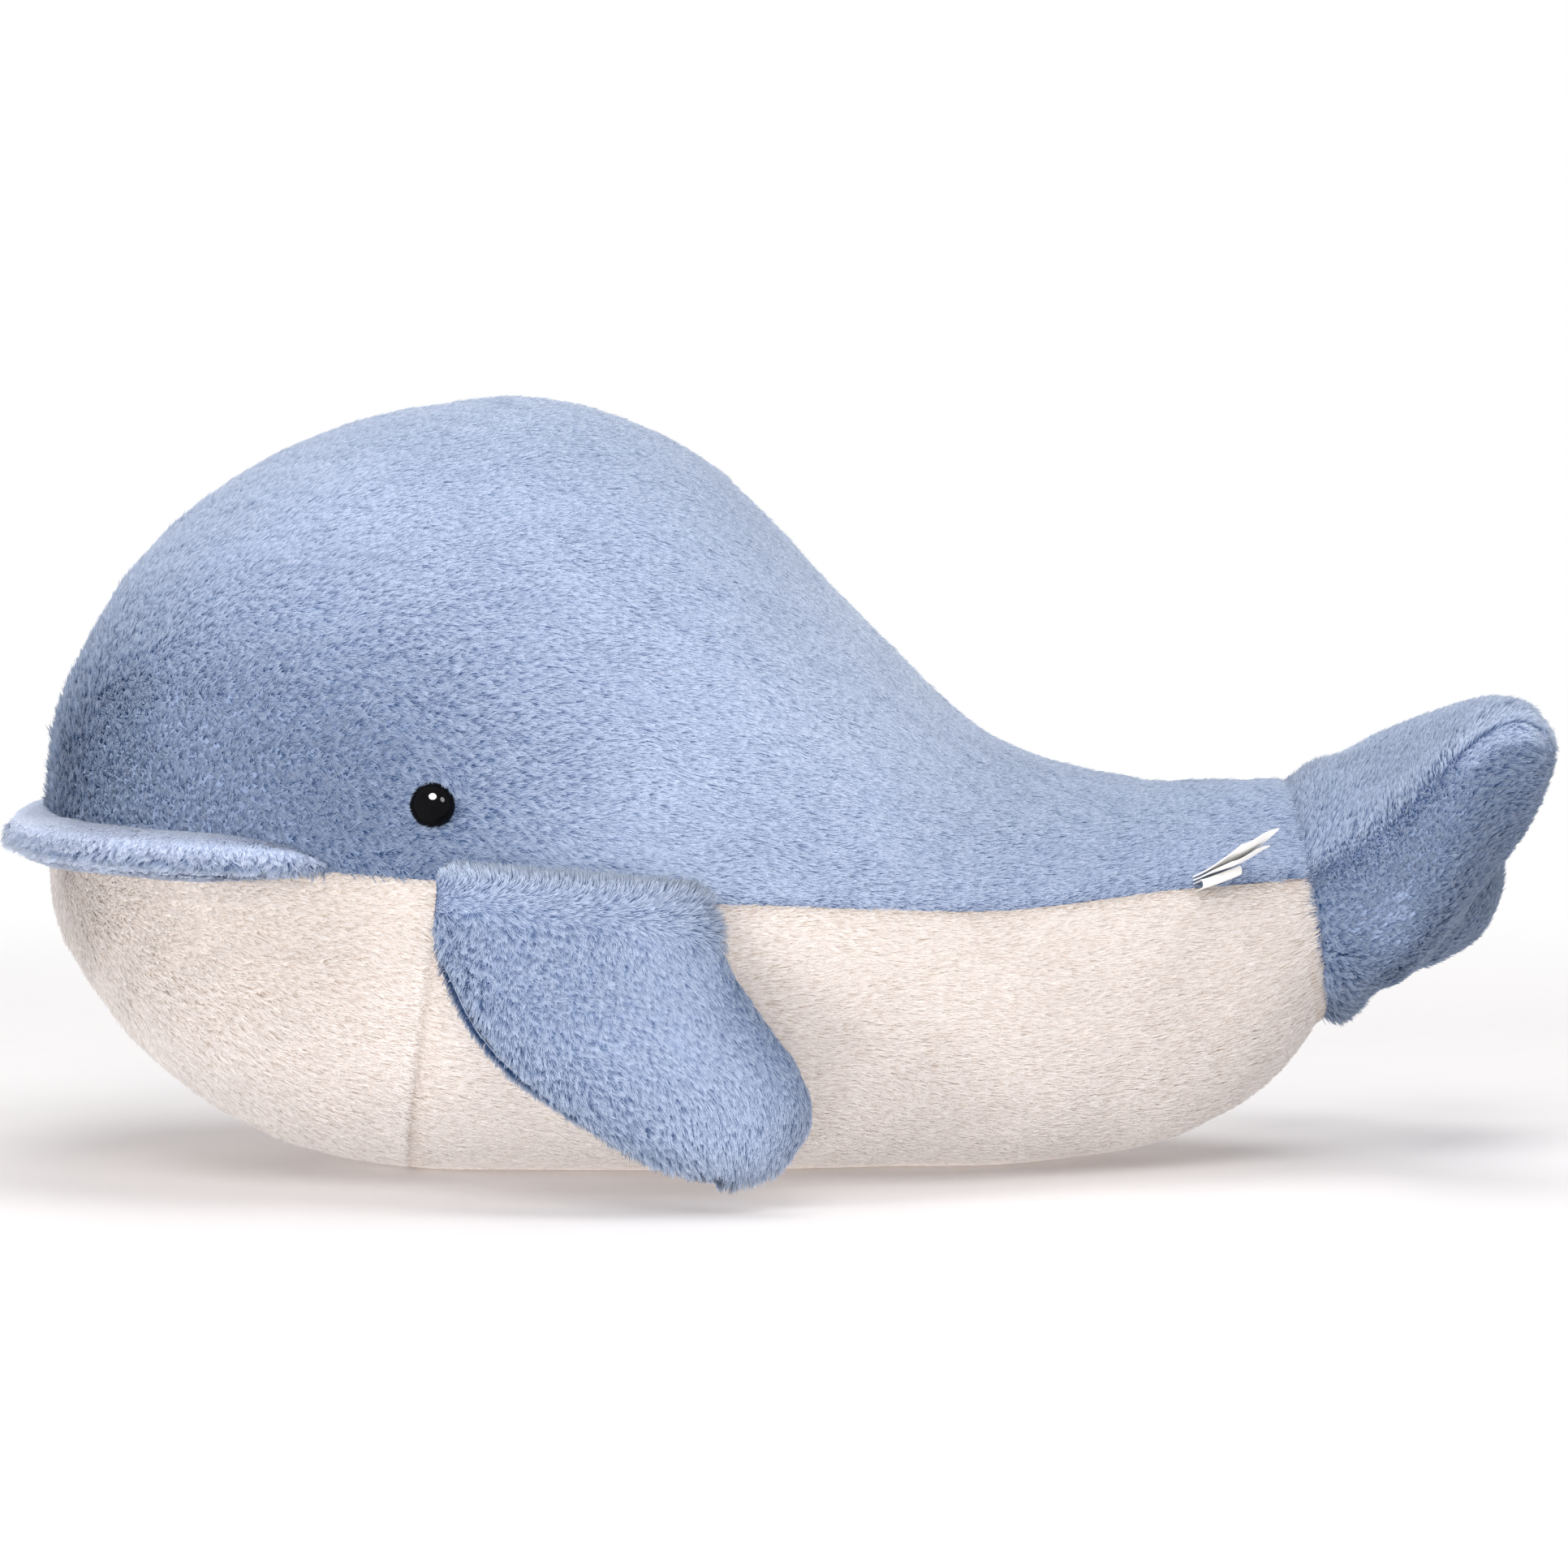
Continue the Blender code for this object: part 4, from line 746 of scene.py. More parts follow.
def strand_finish(name, root, middle, tip):
    """Strands: deeper colour at the root, a painted shade since they cast none on each other; pale tips, each
    strand a little different, lit like the skin.
    """
    made, shader, add = start_finish(name)
    ramp = add("ValToRGB", [(0, add("HairInfo").outputs["Intercept"])])
    # The root colour is painted shade deep in the pile.
    ramp.color_ramp.elements[0].color = root
    ramp.color_ramp.elements[0].position = 0.30
    ramp.color_ramp.elements[1].color = tip
    ramp.color_ramp.elements[1].position = 0.97
    ramp.color_ramp.elements.new(0.72).color = middle
    tone_and_shade = add("Attribute", attribute_name="tone_and_shade").outputs["Fac"]
    value, saturation = ranged(add, tone_and_shade, 0.0, 1.0, 0.52, 1.36), ranged(add, tone_and_shade, 0.0, 1.0, 1.35, 0.80)
    coloured = add("HueSaturation", [("Color", ramp.outputs[0]), ("Value", value), ("Saturation", saturation)])
    skin_normal = add("Attribute", attribute_name="base_normal").outputs["Vector"]
    skin_share = worked(add, "VectorMath", "MULTIPLY", skin_normal, (0.65, 0.65, 0.65))
    own_normal = add("NewGeometry").outputs["Normal"]
    own_share = worked(add, "VectorMath", "MULTIPLY", own_normal, (0.35, 0.35, 0.35))
    both = worked(add, "VectorMath", "ADD", skin_share, own_share)
    feed(shader, (("Base Color", coloured.outputs[0]), ("Normal", worked(add, "VectorMath", "NORMALIZE", both)),
                  ("Roughness", 0.85), ("Specular IOR Level", 0.1)))
    return made


def gloss_finish(name, colour):
    """Polished moulded plastic with the faintest unevenness."""
    made, shader, add = start_finish(name)
    cloud = cloudy(add, add("TexCoord").outputs["Object"], 220.0, 1.0)
    lighter = tuple(min(1, c * 1.5 + 0.001) for c in colour[:3]) + (1,)
    feed(shader, (("Roughness", ranged(add, cloud, 0.0, 1.0, 0.03, 0.07)),
                  ("Base Color", mixed(add, cloud, colour, lighter)), ("Specular IOR Level", 0.05)))
    return made


def satin_finish(name, colour, thread):
    """Woven satin: fine ribs across the label, paler threads and a soft shine."""
    made, shader, add = start_finish(name)
    where = add("Attribute", attribute_name="nap").outputs["Vector"]
    waves = add("TexWave", [("Vector", where), ("Scale", 260.0), ("Distortion", 0.6)])
    ribs = waves.outputs["Fac"]
    both = worked(add, "Math", "MULTIPLY", ribs, cloudy(add, where, 900.0, 2.0))
    bump = add("Bump", [("Height", ribs), ("Strength", 0.25), ("Distance", 0.0002)])
    feed(shader, (("Base Color", mixed(add, both, colour, thread)), ("Normal", bump.outputs[0]),
                  ("Roughness", 0.55), ("Sheen Weight", 0.2)))
    return made


# Each skin's first colour is the painted shade between its tufts.
BLUE_SKIN = skin_finish("blue_fur", (0.16, 0.22, 0.38, 1), (0.30, 0.38, 0.56, 1), (0.35, 0.44, 0.62, 1))
PALE_SKIN = skin_finish("pale_blue_fur", (0.30, 0.37, 0.54, 1), (0.44, 0.52, 0.70, 1), (0.50, 0.58, 0.76, 1))
CREAM_SKIN = skin_finish("cream_fur", (0.66, 0.56, 0.49, 1), (0.86, 0.79, 0.74, 1), (0.90, 0.84, 0.80, 1))
# Each strand finish's first colour is the painted shade at the root.
BLUE_STRANDS = strand_finish("blue_strands", (0.10, 0.15, 0.29, 1), (0.385, 0.46, 0.62, 1),
                             (0.58, 0.65, 0.79, 1))
PALE_STRANDS = strand_finish("pale_blue_strands", (0.34, 0.40, 0.58, 1), (0.60, 0.67, 0.84, 1),
                             (0.72, 0.78, 0.92, 1))
# The lower lip's pile: its blue made paler, painted light on the lip's underside, which faces down.
LIT_LIP_STRANDS = strand_finish("lit_lip_strands", (0.14, 0.19, 0.33, 1), (0.47, 0.55, 0.72, 1), (0.68, 0.74, 0.87, 1))
CREAM_STRANDS = strand_finish("cream_strands", (0.62, 0.52, 0.45, 1), (0.85, 0.785, 0.75, 1),
                              (0.93, 0.89, 0.875, 1))
EYE_BLACK = gloss_finish("eye_black", (0.002, 0.002, 0.0025, 1))
LABEL_SATIN = satin_finish("label_satin", (0.82, 0.81, 0.79, 1), (0.93, 0.92, 0.90, 1))


# ---- The coats' rules ----

def eye_place(side):
    """Where an eye sits on the head and which way it faces."""
    turns, _ = ring_turns(np.array([EYE_STATION]), 1, lambda number, full: np.array([EYE_RISE]))
    flip = np.array([1, side, 1])
    return (body_point(EYE_STATION, turns[0, 0]) * flip, body_normal(EYE_STATION, turns[0, 0]) * flip)


def round_the_eyes(place):
    """Strands are short beside an eye, and there are none under it."""
    size = np.ones(len(place))
    for side in (-1, 1):
        centre, _ = eye_place(side)
        away = np.linalg.norm(place - centre, axis=-1)
        above = np.clip((place[:, 2] - centre[2]) / EYE_RADIUS, 0, 1)
        short = 0.70 + 0.40 * above + (away - EYE_RADIUS) / 0.012
        size = np.minimum(size, np.where(away < EYE_RADIUS * 0.94, 0, short))
    return np.clip(size, 0, 1)


def over_the_eyes(place):
    """Strands above an eye hang over its top edge."""
    push = np.zeros_like(place)
    for side in (-1, 1):
        centre, _ = eye_place(side)
        way = centre - place
        away = np.linalg.norm(way, axis=-1)
        near = np.clip(1.9 - away / EYE_RADIUS * 0.95, 0, 1) * (away < EYE_RADIUS * 1.9)
        above = np.clip(-way[:, 2] / EYE_RADIUS * 1.6 - 0.4, 0, 1)
        push += unit(way) * (near * above * 1.8)[:, None]
    return push


def nose_lean(place, upward):
    """At the nose, where both panels' piles would part, the pile points up or down."""
    nose = np.clip(1.2 - (place[:, 0] - NOSE_X) / 0.008, 0, 1)
    return np.array([0.3, 0.0, upward]) * nose[:, None]


def back_lean(place, edge):
    """The back's pile hangs over the eyes, and points up at the nose."""
    return over_the_eyes(place) + nose_lean(place, 1.8)


def chin_lean(place, edge):
    """The chin's pile points down at the nose."""
    return nose_lean(place, -1.8)


def seam_short(place, edge):
    """Strands are shorter where a seam draws them in, apart from the tail seam, which they cover."""
    from_ring = np.abs((place - RING_CENTRE) @ RING_AXIS)
    size = 0.5 + 0.5 * np.clip(edge / 0.006, 0, 1)
    return np.where(from_ring < 0.006, 1.0, size)


def back_rule(place, edge):
    """The back's strands: short round the eyes and in the seams."""
    return round_the_eyes(place) * seam_short(place, edge)


def rubbed_shaded_front(place):
    """How far a place lies towards the face's low front, where the pile is rubbed up and painted shade darkens
    it: 0 to 1.
    """
    back = np.clip((-0.030 - place[:, 0]) / 0.15, 0, 1)
    low = np.clip((0.262 - place[:, 2]) / 0.12, 0, 1)
    return back * back * (3 - 2 * back) * low * low * (3 - 2 * low)


def back_wild(place, edge):
    """The back's pile is smooth but for the face's low front."""
    return 0.08 + 0.85 * rubbed_shaded_front(place)


def back_shade(place, edge):
    """Painted light on the neck; painted shade towards the tail, on the face's low front, where the pile is
    rubbed up, and in the seams.
    """
    # The neck is painted lighter, where light falls from above; the tail, the low front and the seams get
    # painted shade.
    neck = np.clip((place[:, 0] + 0.05) / 0.08, 0, 1) * np.clip((place[:, 2] - 0.13) / 0.05, 0, 1)
    tail = np.clip((place[:, 0] - 0.07) / 0.09, 0, 1)
    seam = np.clip(1 - edge / 0.004, 0, 1)
    return 0.11 + 0.16 * neck * (1 - tail) - 0.09 * tail - 0.70 * rubbed_shaded_front(place) - 0.10 * seam


def cream_wild(place, edge):
    """The cream pile is a little ruffled all over, and more so on the chin."""
    return 0.05 + 0.17 * np.clip((-0.10 - place[:, 0]) / 0.06, 0, 1)


def cream_shade(place, edge):
    """Painted shade on the cream pile: in a seam, on the chin, below the lip and towards the tail."""
    lip = np.clip((-0.12 - place[:, 0]) / 0.06, 0, 1) * np.clip((place[:, 2] - 0.055) / 0.04, 0, 1)
    tail = np.clip((place[:, 0] - 0.14) / 0.05, 0, 1)
    chin = np.clip((-0.13 - place[:, 0]) / 0.03, 0, 1)
    return 0.01 - 0.22 * np.clip(1 - edge / 0.003, 0, 1) - 0.08 * chin - 0.18 * lip - 0.12 * tail


def lip_scale(place, edge):
    """The lip's pile is short on its faces and longer along its edge."""
    return 0.72 + 0.55 * np.clip(1 - edge / 0.007, 0, 1)


def lip_wild(place, edge):
    """The lip's edge is fuzzy."""
    return 0.05 + 1.0 * np.clip(1 - edge / 0.008, 0, 1)


def lip_shade(place, edge):
    """The lip's edge is darker, painted shade where its pile parts."""
    return 0.06 - 0.42 * np.clip(1.2 - edge / 0.005, 0, 1)


def lip_lean(place, edge):
    """The lip's pile hangs down along its edge."""
    return np.array([0.0, 0.0, -1.5]) * np.clip(1.3 - edge / 0.006, 0, 1)[:, None]


def part_up(place, edge):
    """On the flukes' top the pile points up, away from the seamed edge."""
    share = np.clip(1.2 - edge / 0.045, 0.2, 1) * (1 - 0.7 * fluke_tip(place))
    return np.array([0.0, 0.0, 1.6]) * share[:, None]


def part_down(place, edge):
    """Under the flukes the pile points back and down from the seamed edge."""
    share = np.clip(1.2 - edge / 0.018, 0, 1) * (1 - 0.7 * fluke_tip(place))
    return np.array([0.5, 0.0, -1.0]) * share[:, None]


def rim_wild(place, edge):
    """Pile is ruffled along a seamed edge."""
    return 0.20 + 0.75 * np.clip(1 - edge / 0.016, 0, 1)


def fluke_trail(place, edge):
    """How near a place on the flukes lies to their trailing edge."""
    back = (place - RING_CENTRE) @ RING_AXIS
    return np.clip(1.6 - (edge - 0.005) / 0.004, 0, 1) * np.clip((back - 0.055) / 0.010, 0, 1)


def fluke_tip(place):
    """How near a place on the flukes lies to a lobe's tip, where ruffled pile covers the seam."""
    return np.clip((np.linalg.norm(place - RING_CENTRE, axis=-1) - 0.085) / 0.035, 0, 1)


def fluke_scale(place, edge):
    """The flukes' pile is shorter in the seam, apart from the tips."""
    return np.maximum(seam_short(place, edge), fluke_tip(place))


def top_wild(place, edge):
    """The flukes' top is smooth but for its seamed edge."""
    back = np.maximum((place - RING_CENTRE) @ RING_AXIS, 0.001)
    ringward = np.clip((edge / back - 0.60) / 0.25, 0, 1)
    seamed = np.clip(1.2 - edge / 0.014, 0, 1) * (1 - 0.9 * ringward)
    return (0.10 + 0.80 * seamed) * (1 - 0.8 * fluke_trail(place, edge))


def bottom_wild(place, edge):
    """Under the flukes the pile is ruffled in folds."""
    return (0.45 + 0.50 * np.clip(1.2 - edge / 0.014, 0, 1)) * (1 - 0.8 * fluke_trail(place, edge))


def top_shade(place, edge):
    """The flukes' top is a little darker than the back, with painted shade in the seam and a painted light rim
    along the trailing edge.
    """
    seam = np.clip(1 - edge / 0.005, 0, 1) * (1 - fluke_tip(place))
    return -0.04 - 0.16 * seam + 0.16 * fluke_trail(place, edge)


def bottom_shade(place, edge):
    """Painted shade on the flukes' underside, apart from a painted light rim along the trailing edge."""
    return -0.47 + 0.46 * fluke_trail(place, edge)


def fin_shares(place):
    """How far places on the fins lie from the leading edge and down from the root, as shares."""
    origin, axis, reach, _ = fin_axes()
    way = place * np.stack([np.ones(len(place)), np.sign(place[:, 1]), np.ones(len(place))], axis=-1) - origin
    down = way @ reach / FIN_LENGTH
    lead, trail = np.moveaxis(along_table(FIN_OUTLINE, np.clip(down, 0, 1)) * FIN_ROOT_WIDTH, -1, 0)
    return (way @ axis - lead) / (trail - lead), down


def fin_rubbed_and_shaded(place):
    """How far a fin's pile is rubbed up and painted in shade: most near the root at the leading edge, and
    little behind.
    """
    across, down = fin_shares(place)
    patch = np.clip(1.4 - np.hypot((across - 0.22) / 0.40, (down - 0.26) / 0.34), 0, 1)
    front = np.clip((0.62 - across) / 0.35, 0, 1)
    return np.maximum(patch, 0.6 * front) * np.clip((down - 0.02) / 0.12, 0, 1)


def fin_wild(place, edge):
    """The fins' pile is ruffled where it is rubbed up."""
    return 0.14 + 0.66 * fin_rubbed_and_shaded(place)


def fin_shade(place, edge):
    """Painted shade where the pile is rubbed up and along the leading edge's seam; painted light on the fold at
    the root.
    """
    across, down = fin_shares(place)
    seam = np.clip(1.2 - edge / 0.004, 0, 1) * (across < 0.5)
    return 0.03 + 0.12 * np.clip((0.06 - down) / 0.10, 0, 1) - 0.20 * fin_rubbed_and_shaded(place) - 0.25 * seam


def fin_scale(place, edge):
    """A fin's pile is shorter along the leading edge's seam."""
    across, _ = fin_shares(place)
    return np.where(across < 0.5, 0.45 + 0.55 * np.clip(edge / 0.008, 0, 1), 1.0)


def fin_lean(place, edge):
    """At a fin's root the pile points up over the fold, and at its tip down over the seam."""
    _, down = fin_shares(place)
    share = np.clip((0.15 - down) / 0.19, 0, 1)[:, None]
    tip = np.clip((down - 0.85) / 0.08, 0, 1)[:, None]
    return (np.array([0.0, 0.0, 2.2]) * share + np.array([3.5, 0.0, 0.0]) * share * (1 - share)
            + np.array([0.3, 0.0, -1.6]) * tip)


# ---- Building ----

def dress(skin_nodes):
    """Hides the frame's nodes that a skin stands for."""
    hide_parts(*skin_nodes)


def over_the_ring(piece):
    """Bakes a skin's placement into its mesh."""
    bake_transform(piece)


def build_body():
    """The back's, chin's and belly's skins and coats."""
    for side, name in ((-1, "left"), (1, "right")):
        skin = back_skin(side)
        seed = SEEDS["back"] + side
        piece = skin_piece("back_skin_" + name, skin, BLUE_SKIN, seed)
        dress(["back_panel_" + name] + (["body_filling"] if side == -1 else []))
        over_the_ring(piece)
        coat("back_coat_" + name, skin, "body", BLUE_STRANDS, seed, scale=back_rule, lean=back_lean,
             wild=back_wild, shade=back_shade)
    skin = under_skin(0, CHIN_SEAM_STATION, 86)
    piece = skin_piece("chin_skin", skin, CREAM_SKIN, SEEDS["chin"])
    dress(["chin_panel"])
    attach(piece, "body")
    coat("chin_coat", skin, "body", CREAM_STRANDS, SEEDS["chin"], scale=seam_short, lean=chin_lean,
         wild=cream_wild, shade=cream_shade)
    skin = under_skin(CHIN_SEAM_STATION, LAST_STATION, 165)
    piece = skin_piece("belly_skin", skin, CREAM_SKIN, SEEDS["belly"])
    dress(["belly_panel"])
    over_the_ring(piece)
    coat("belly_coat", skin, "body", CREAM_STRANDS, SEEDS["belly"], scale=seam_short, wild=cream_wild,
         shade=cream_shade)


def build_lip():
    """The lip's smooth top and its fuzzy underside."""
    for side, name, finish, strands, slot in (
        (1, "upper", PALE_SKIN, PALE_STRANDS, "light_blue_fabric"),
        (-1, "lower", BLUE_SKIN, LIT_LIP_STRANDS, "blue_fabric"),
    ):
        skin = lip_skin(side)
        seed = SEEDS["lip"] + side
        piece = skin_piece("lip_skin_" + name, skin, finish, seed, pinch=0.0008, inset=0.0016,
                           tuft_height=0.0009, bulge=0.0003, tucks=())
        nodes = ["lip_{}_panel".format(name)] + (["lip_filling"] if side == 1 else [])
        dress(nodes)
        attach(piece, "body")
        rough = lip_wild if side == 1 else rim_wild
        coat("lip_coat_" + name, skin, "body", strands, seed, length=0.0042, lift=0.50, density=1.4,
             inset=0.0018, scale=lip_scale, wild=rough, shade=lip_shade, lean=lip_lean)


def build_fins():
    """Both fins' outer and inner skins and coats."""
    for side, name in ((-1, "fin_left"), (1, "fin_right")):
        for face, label in ((1, "outer"), (-1, "inner")):
            skin = fin_skin(side, face)
            seed = SEEDS["fin"] + 2 * side + face
            piece = skin_piece("{}_{}_skin".format(name, label), skin, BLUE_SKIN, seed, pinch=0.0012,
                               inset=0.0018, tucks=())
            nodes = ["{}_{}_panel".format(name, label)] + ([name + "_filling"] if face == 1 else [])
            dress(nodes)
            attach(piece, name)
            coat("{}_{}_coat".format(name, label), skin, name, BLUE_STRANDS, seed, length=0.0050, inset=0.0022,
                 scale=fin_scale, wild=fin_wild, shade=fin_shade, lean=fin_lean)


def build_flukes():
    """The flukes' top and bottom skins and coats."""
    for face, label in ((1, "top"), (-1, "bottom")):
        skin = fluke_skin(face)
        seed = SEEDS["fluke"] + face
        piece = skin_piece("fluke_{}_skin".format(label), skin, BLUE_SKIN, seed, pinch=0.0034, tucks=(0,))
        nodes = ["fluke_{}_panel".format(label)] + (["fluke_filling"] if face == 1 else [])
        dress(nodes)
        over_the_ring(piece)
        upper = face == 1
        coat("fluke_{}_coat".format(label), skin, "flukes", BLUE_STRANDS, seed, length=0.0048,
             lift=0.38 if upper else 0.44, wild=top_wild if upper else bottom_wild, scale=fluke_scale,
             lean=part_up if upper else part_down, shade=top_shade if upper else bottom_shade)


def build_tail_hem():
    """The hem inside the tail seam, which shows at the bottom of the seam when the flukes flex."""
    turn = np.linspace(0, 2 * math.pi, 121)
    way = np.linspace(-1, 1, 15)[:, None]
    radius = RING_RADIUS - HEM_DEPTH - HEM_ARCH * way * way
    out = np.cos(turn)[:, None] * SIDEWAYS + np.sin(turn)[:, None] * RING_UP
    face = RING_CENTRE + RING_AXIS * (HEM_REACH * way)[..., None] + out * radius[..., None]
    normals = np.broadcast_to(out, face.shape)
    nap = np.broadcast_to(turn * RING_RADIUS, face.shape[:2])
    values = np.stack([HEM_REACH * way + 0 * nap, nap, 0 * nap], axis=-1)
    piece = grid_piece("tail_seam_hem", face, normals, values, BLUE_SKIN)
    over_the_ring(piece)


def turned_piece(name, profile, finish, place, normal, steps=96):
    """A piece turned about the way that it faces, from a profile of (radius, height)."""
    turn = np.linspace(0, 2 * math.pi, steps, endpoint=False)
    across = unit(np.cross(normal, [0.0, 0.0, 1.0]))
    up = np.cross(across, normal)
    vertices = []
    for radius, height in profile:
        ring = place + normal * height + radius * (
            np.cos(turn)[:, None] * across + np.sin(turn)[:, None] * up)
        vertices += ring.tolist()
    faces = []
    for level in range(len(profile) - 1):
        for step in range(steps):
            after = (step + 1) % steps
            low, high = level * steps, (level + 1) * steps
            faces.append((low + step, low + after, high + after, high + step))
    faces.append(tuple(range(steps))[::-1])
    faces.append(tuple(range((len(profile) - 1) * steps, len(profile) * steps)))
    return mesh_piece(name, vertices, faces, finish)


def build_eyes():
    """Smooth polished domes in place of the frame's eyes."""
    for side, name in ((-1, "left"), (1, "right")):
        place, normal = eye_place(side)
        profile = [(SHANK_RADIUS, EYE_BACK - SHANK_LENGTH), (SHANK_RADIUS, EYE_BACK),
                   (EYE_RADIUS - EYE_RIM / 2, EYE_BACK), (EYE_RADIUS, EYE_BACK + EYE_RIM / 2)]
        for step in range(21):
            angle = math.pi / 2 * step / 20.5
            profile.append((EYE_RADIUS * math.cos(angle), EYE_BACK + EYE_RIM + EYE_DOME * math.sin(angle)))
        piece = turned_piece("eye_dome_" + name, profile, EYE_BLACK, place, normal)
        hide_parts("eye_" + name, "eye_washer_" + name)
        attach(piece, "body")


def label_root(way, share):
    """Points just outside the left side's fabric, at a way above the seam and shares across the labels."""
    station_length = np.linalg.norm(SEAM[LAST_STATION + 1] - SEAM[LAST_STATION])
    share = np.asarray(share, float)
    place = LABEL_STATION + share * LABEL_WIDTH / station_length
    way = way + share * LABEL_RISE
    up, _ = ring_turns(place, 1, lambda number, full: np.array([max(way[number], 0)]))
    low, _ = ring_turns(place, -1, lambda number, full: np.array([max(-way[number], 0)]))
    turn = (up + low)[:, 0]
    depth = SEAM_PINCH * np.maximum(0, 1 - np.abs(way) / 0.010) ** 2 - FRAME_GAP
    points = body_point(place, turn) - body_normal(place, turn) * depth[:, None]
    return points * MIRROR


def label_ways():
    """The ways that the labels take from the left side seam: along it, out of the fabric and up."""
    along = unit(body_point(LABEL_STATION + 0.25, 0) - body_point(LABEL_STATION, 0)) * MIRROR
    out = body_normal(LABEL_STATION, 0) * MIRROR
    up = np.cross(along, out)
    return along, out, up * np.sign(up[2])


def label_piece(name, rows, thick_way, node):
    """A thin woven strip from rows of points, closed all round, in place of its node."""
    rows = np.array(rows)
    count, wide = rows.shape[:2]
    upper = rows + thick_way * LABEL_THICKNESS
    grid = np.concatenate([upper, rows[:, ::-1]], axis=1)
    grid = np.concatenate([grid, grid[:, :1]], axis=1)
    ways = running(rows, 0)
    across = running(rows, 1)
    both = np.concatenate([across, across[:, ::-1], across[:, :1]], axis=1)
    longs = np.concatenate([ways, ways[:, ::-1], ways[:, :1]], axis=1)
    ring = grid.shape[1] - 1
    faces = []
    for row in range(count - 1):
        for column in range(ring):
            after = (column + 1) % ring
            low, high = row * ring, (row + 1) * ring
            faces.append((low + column, low + after, high + after, high + column))
    for row in (0, count - 1):
        line = [row * ring + column for column in range(wide)]
        back = [row * ring + 2 * wide - 1 - column for column in range(wide)]
        for a, b, c, d in zip(line, line[1:], back[1:], back):
            faces.append((a, b, c, d) if row else (d, c, b, a))
    nap = np.stack([longs[:, :-1], both[:, :-1], np.zeros_like(both[:, :-1])], axis=-1)
    piece = mesh_piece(name, grid[:, :-1].reshape(-1, 3).tolist(), faces, LABEL_SATIN, nap)
    piece.data.set_sharp_from_angle(angle=math.radians(50))
    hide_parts(node)
    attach(piece, "body")


def build_labels():
    """Two leaves that curl up from the side seam and a short folded loop under them."""
    along, out, up = label_ways()
    shares = np.linspace(0, 1, 13)
    for name, node, length, way, rise in (
        ("label_leaf_long", "label_long_leaf", 0.030, 0.0042, 12.0),
        ("label_leaf_short", "label_short_leaf", 0.023, 0.0029, 6.0),
    ):
        rows = [label_root(way, shares)]
        shift = np.zeros(3)
        for step in range(1, 25):
            angle = math.radians(rise) * 2 * step / 24
            turned = unit(out * math.cos(angle) + up * math.sin(angle) + along * 0.3)
            shift = shift + turned * length / 24
            ripple = up * (0.0007 * step / 24) * np.sin(shares * 5.0 + step / 6)[:, None]
            rows.append(rows[0] + shift + ripple)
        label_piece(name, rows, up, node)
    inner = LABEL_LOOP_RADIUS - LABEL_THICKNESS
    rows = [label_root(inner, shares)]
    middle = label_root(0.0, shares)
    for angle in np.linspace(math.pi / 2, -math.pi / 2, 17):
        reach = LABEL_LOOP_REACH - LABEL_LOOP_RADIUS + inner * math.cos(angle)
        rows.append(middle + (out * reach + up * inner * math.sin(angle)))
    rows.append(label_root(-inner, shares))
    way = float(running(np.array(rows), 0)[-1, 0])
    label_piece("label_loop_strip", rows, up * 0.6, "label_folded_loop")


def shown_rays(add):
    """1 for rays that show a thing itself, to the camera, in a mirror or through glass, and 0 for others."""
    rays = add("LightPath").outputs
    seen = worked(add, "Math", "MAXIMUM", rays["Is Camera Ray"], rays["Is Glossy Ray"])
    return worked(add, "Math", "MAXIMUM", seen, rays["Is Transmission Ray"])


def build_floor():
    """The pale floor, which fades into the white round it, and glows for the rays that light things, not those
    that show it: a painted bounce light on the whale from below.
    """
    finish, shader, add = start_finish("pale_floor")
    where = add("TexCoord").outputs["Object"]
    away = add("VectorMath", [(0, where)], operation="LENGTH").outputs["Value"]
    far = add("MapRange", [(0, away), (1, 0.5), (2, 1.1), (3, 0.0), (4, 1.0)], interpolation_type="SMOOTHSTEP")
    speck = mixed(add, cloudy(add, where, 30.0, 2.0), (0.80, 0.78, 0.785, 1), (0.82, 0.80, 0.805, 1))
    feed(shader, (("Base Color", speck), ("Roughness", 0.9), ("Specular IOR Level", 0.1)))
    # The third glow lights the whale from below as a painted bounce, unseen by the camera.
    glow, faint, painted_bounce = (
        add("Emission", [("Color", colour), ("Strength", strength)]).outputs[0]
        for colour, strength in (((1, 1, 1, 1), 1.0), ((1, 0.985, 0.99, 1), 0.03), ((1, 0.99, 0.98, 1), 0.52)))
    lifted, raised = (
        add("AddShader", [(0, shader.outputs[0]), (1, light)]).outputs[0] for light in (faint, painted_bounce))
    seen = shown_rays(add)
    near = add("MixShader", [(0, seen), (1, raised), (2, lifted)]).outputs[0]
    share = worked(add, "Math", "MULTIPLY", seen, far.outputs[0])
    final = add("MixShader", [(0, share), (1, near), (2, glow)]).outputs[0]
    feed(finish.node_tree.nodes["Material Output"], [("Surface", final)])
    corners = [(x * FLOOR_REACH, y * FLOOR_REACH, 0) for x, y in ((-1, -1), (1, -1), (1, 1), (-1, 1))]
    floor = mesh_piece("floor", corners, [(0, 1, 2, 3)], finish)
    floor.location.z = FLOOR_Z


def build_world():
    """White to the camera, and dimmer as light."""
    world = bpy.data.worlds.new("studio")
    world.use_nodes = True
    nodes, add = world.node_tree.nodes, adder(world.node_tree)
    feed(nodes["Background"], (("Color", (1, 1, 1, 1)), ("Strength", 0.35)))
    shown = add("Background", [("Color", (1, 1, 1, 1)), ("Strength", 1.0)])
    both = add("MixShader", [(0, shown_rays(add)), (1, nodes["Background"].outputs[0]), (2, shown.outputs[0])])
    feed(nodes["World Output"], [("Surface", both.outputs[0])])
    bpy.context.scene.world = world


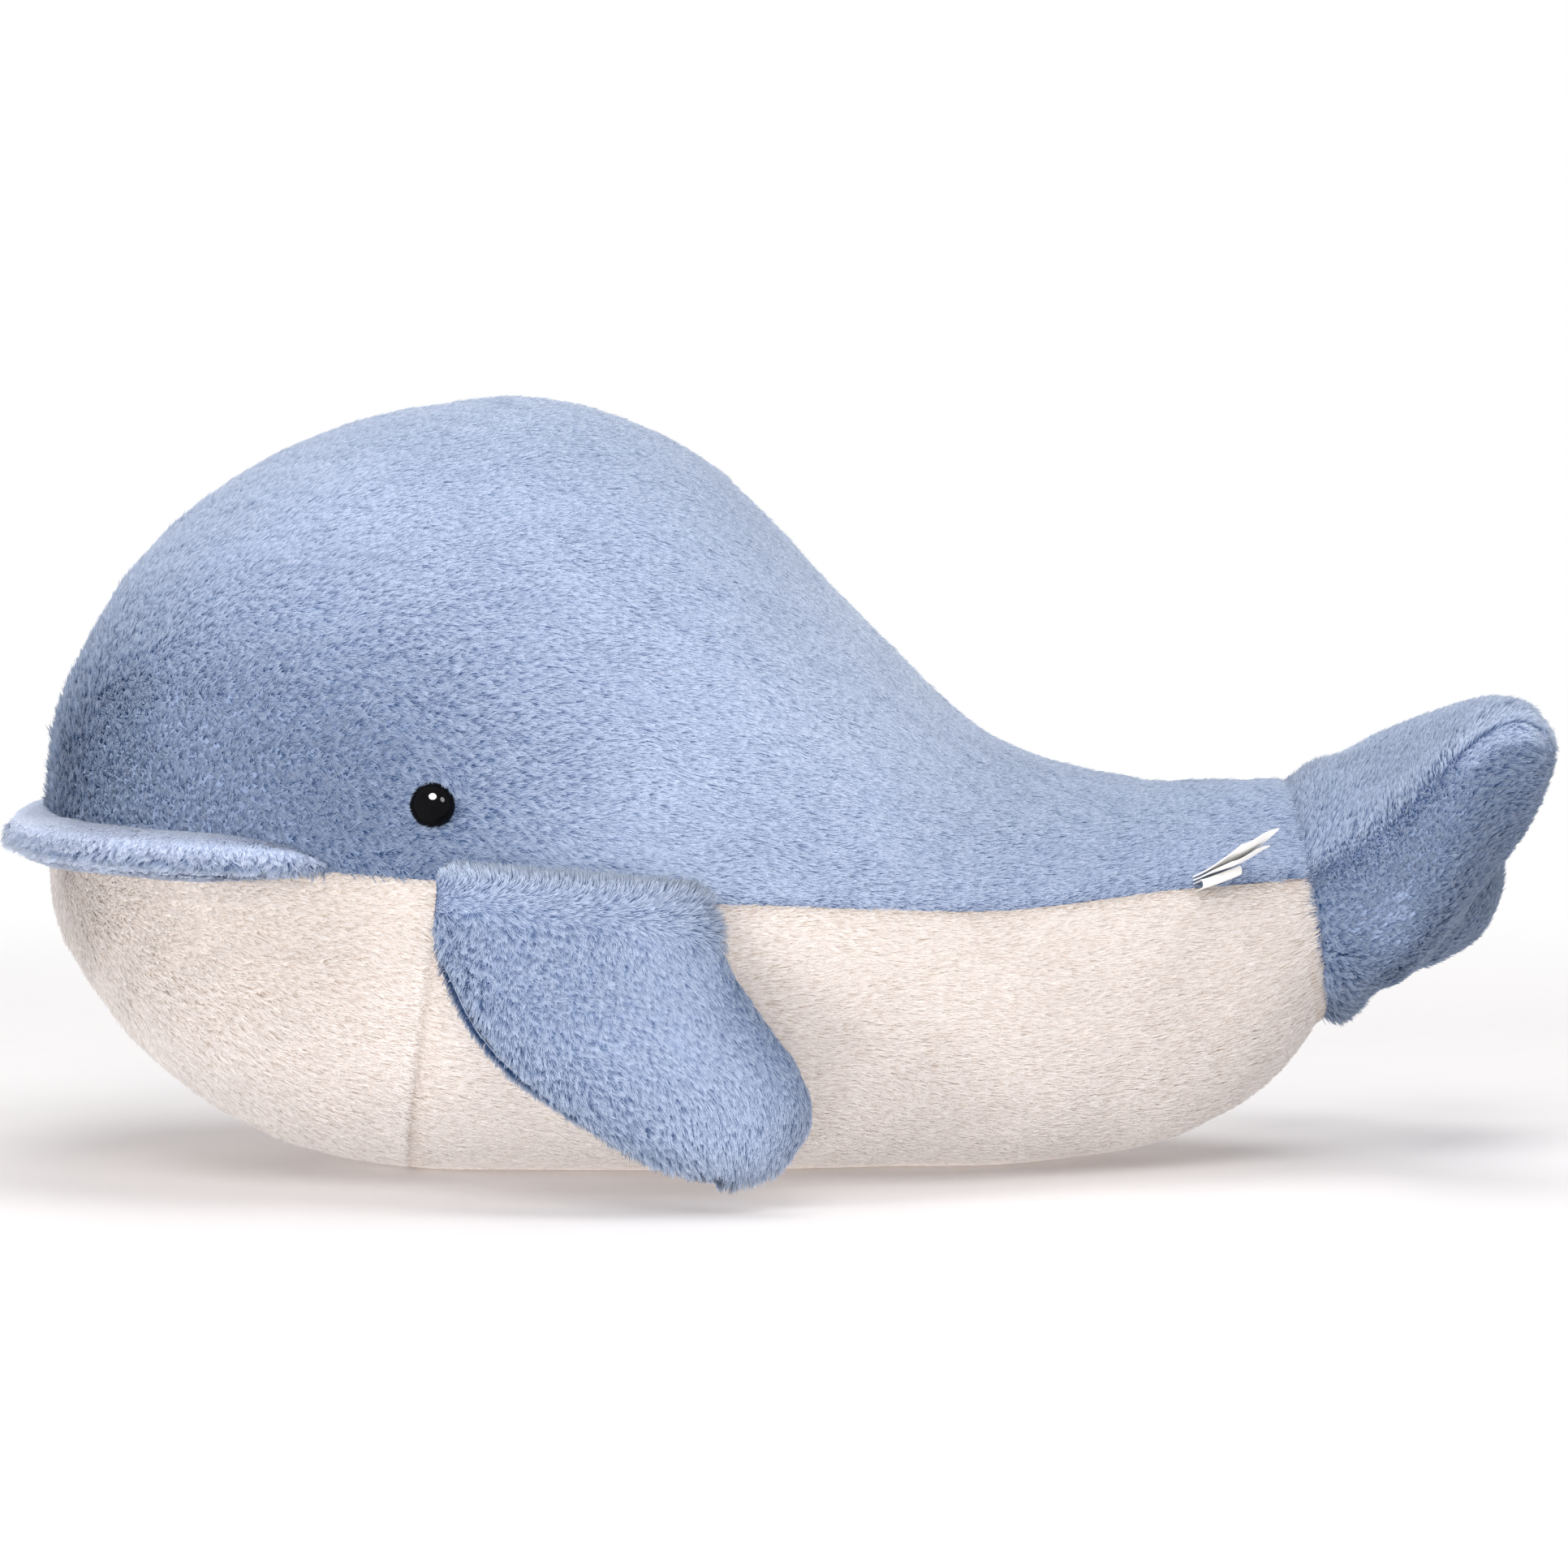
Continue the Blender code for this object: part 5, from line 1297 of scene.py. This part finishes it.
def build_lamps():
    """Soft lamps on the fabric, and two glints that only the eyes show."""
    eyes = bpy.data.collections.new("eyes")
    for name in ("eye_dome_left", "eye_dome_right"):
        eyes.objects.link(bpy.data.objects[name])
    for name, place, size, power, colour in (
        ("key", (-0.06, -1.35, 1.45), 1.1, 12.0, (1.0, 0.99, 0.98)),
        ("top", (0.1, 0.3, 1.9), 1.3, 14.0, (1.0, 1.0, 1.0)),
        ("slope", (1.1, -0.4, 1.7), 1.0, 9.5, (1.0, 1.0, 1.0)),
        ("low", (-2.0, -1.5, 0.62), 0.9, 32.0, (1.0, 0.99, 0.98)),
        ("front", (-0.2, -3.3, 0.10), 1.6, 38.0, (1.0, 0.99, 0.98)),
        ("back", (0.3, 2.6, 0.9), 1.6, 20.0, (1.0, 0.99, 0.98)),
        ("glint_high", (-0.063, -1.29, 1.38), 1.0, 800.0, (1.0, 1.0, 1.0)),
        ("glint_side", (1.25, -1.05, 0.98), 0.7, 75.0, (1.0, 1.0, 1.0)),
    ):
        data = bpy.data.lights.new(name, "AREA")
        data.shape = "DISK"
        data.size = size
        data.energy = power
        data.color = colour
        lamp = bpy.data.objects.new(name, data)
        lamp.location = place
        lamp.rotation_euler = (LAMP_AIM - Vector(place)).to_track_quat("-Z", "Y").to_euler()
        bpy.context.collection.objects.link(lamp)
        glint = name.startswith("glint")
        lamp.visible_glossy = glint
        lamp.visible_diffuse = not glint
        if glint:
            lamp.light_linking.receiver_collection = eyes


def build_camera():
    """The picture's camera."""
    camera = bpy.data.objects.new("camera", bpy.data.cameras.new("camera"))
    camera.data.sensor_width = 36.0
    camera.data.lens = CAMERA_LENS
    camera.location = CAMERA_PLACE
    camera.rotation_euler = (CAMERA_AIM - CAMERA_PLACE).to_track_quat("-Z", "Y").to_euler()
    bpy.context.collection.objects.link(camera)
    bpy.context.scene.camera = camera
    bpy.context.scene.view_settings.view_transform = "Standard"


build_body()
build_lip()
build_fins()
build_flukes()
build_tail_hem()
build_eyes()
build_labels()
build_floor()
build_world()
build_lamps()
build_camera()
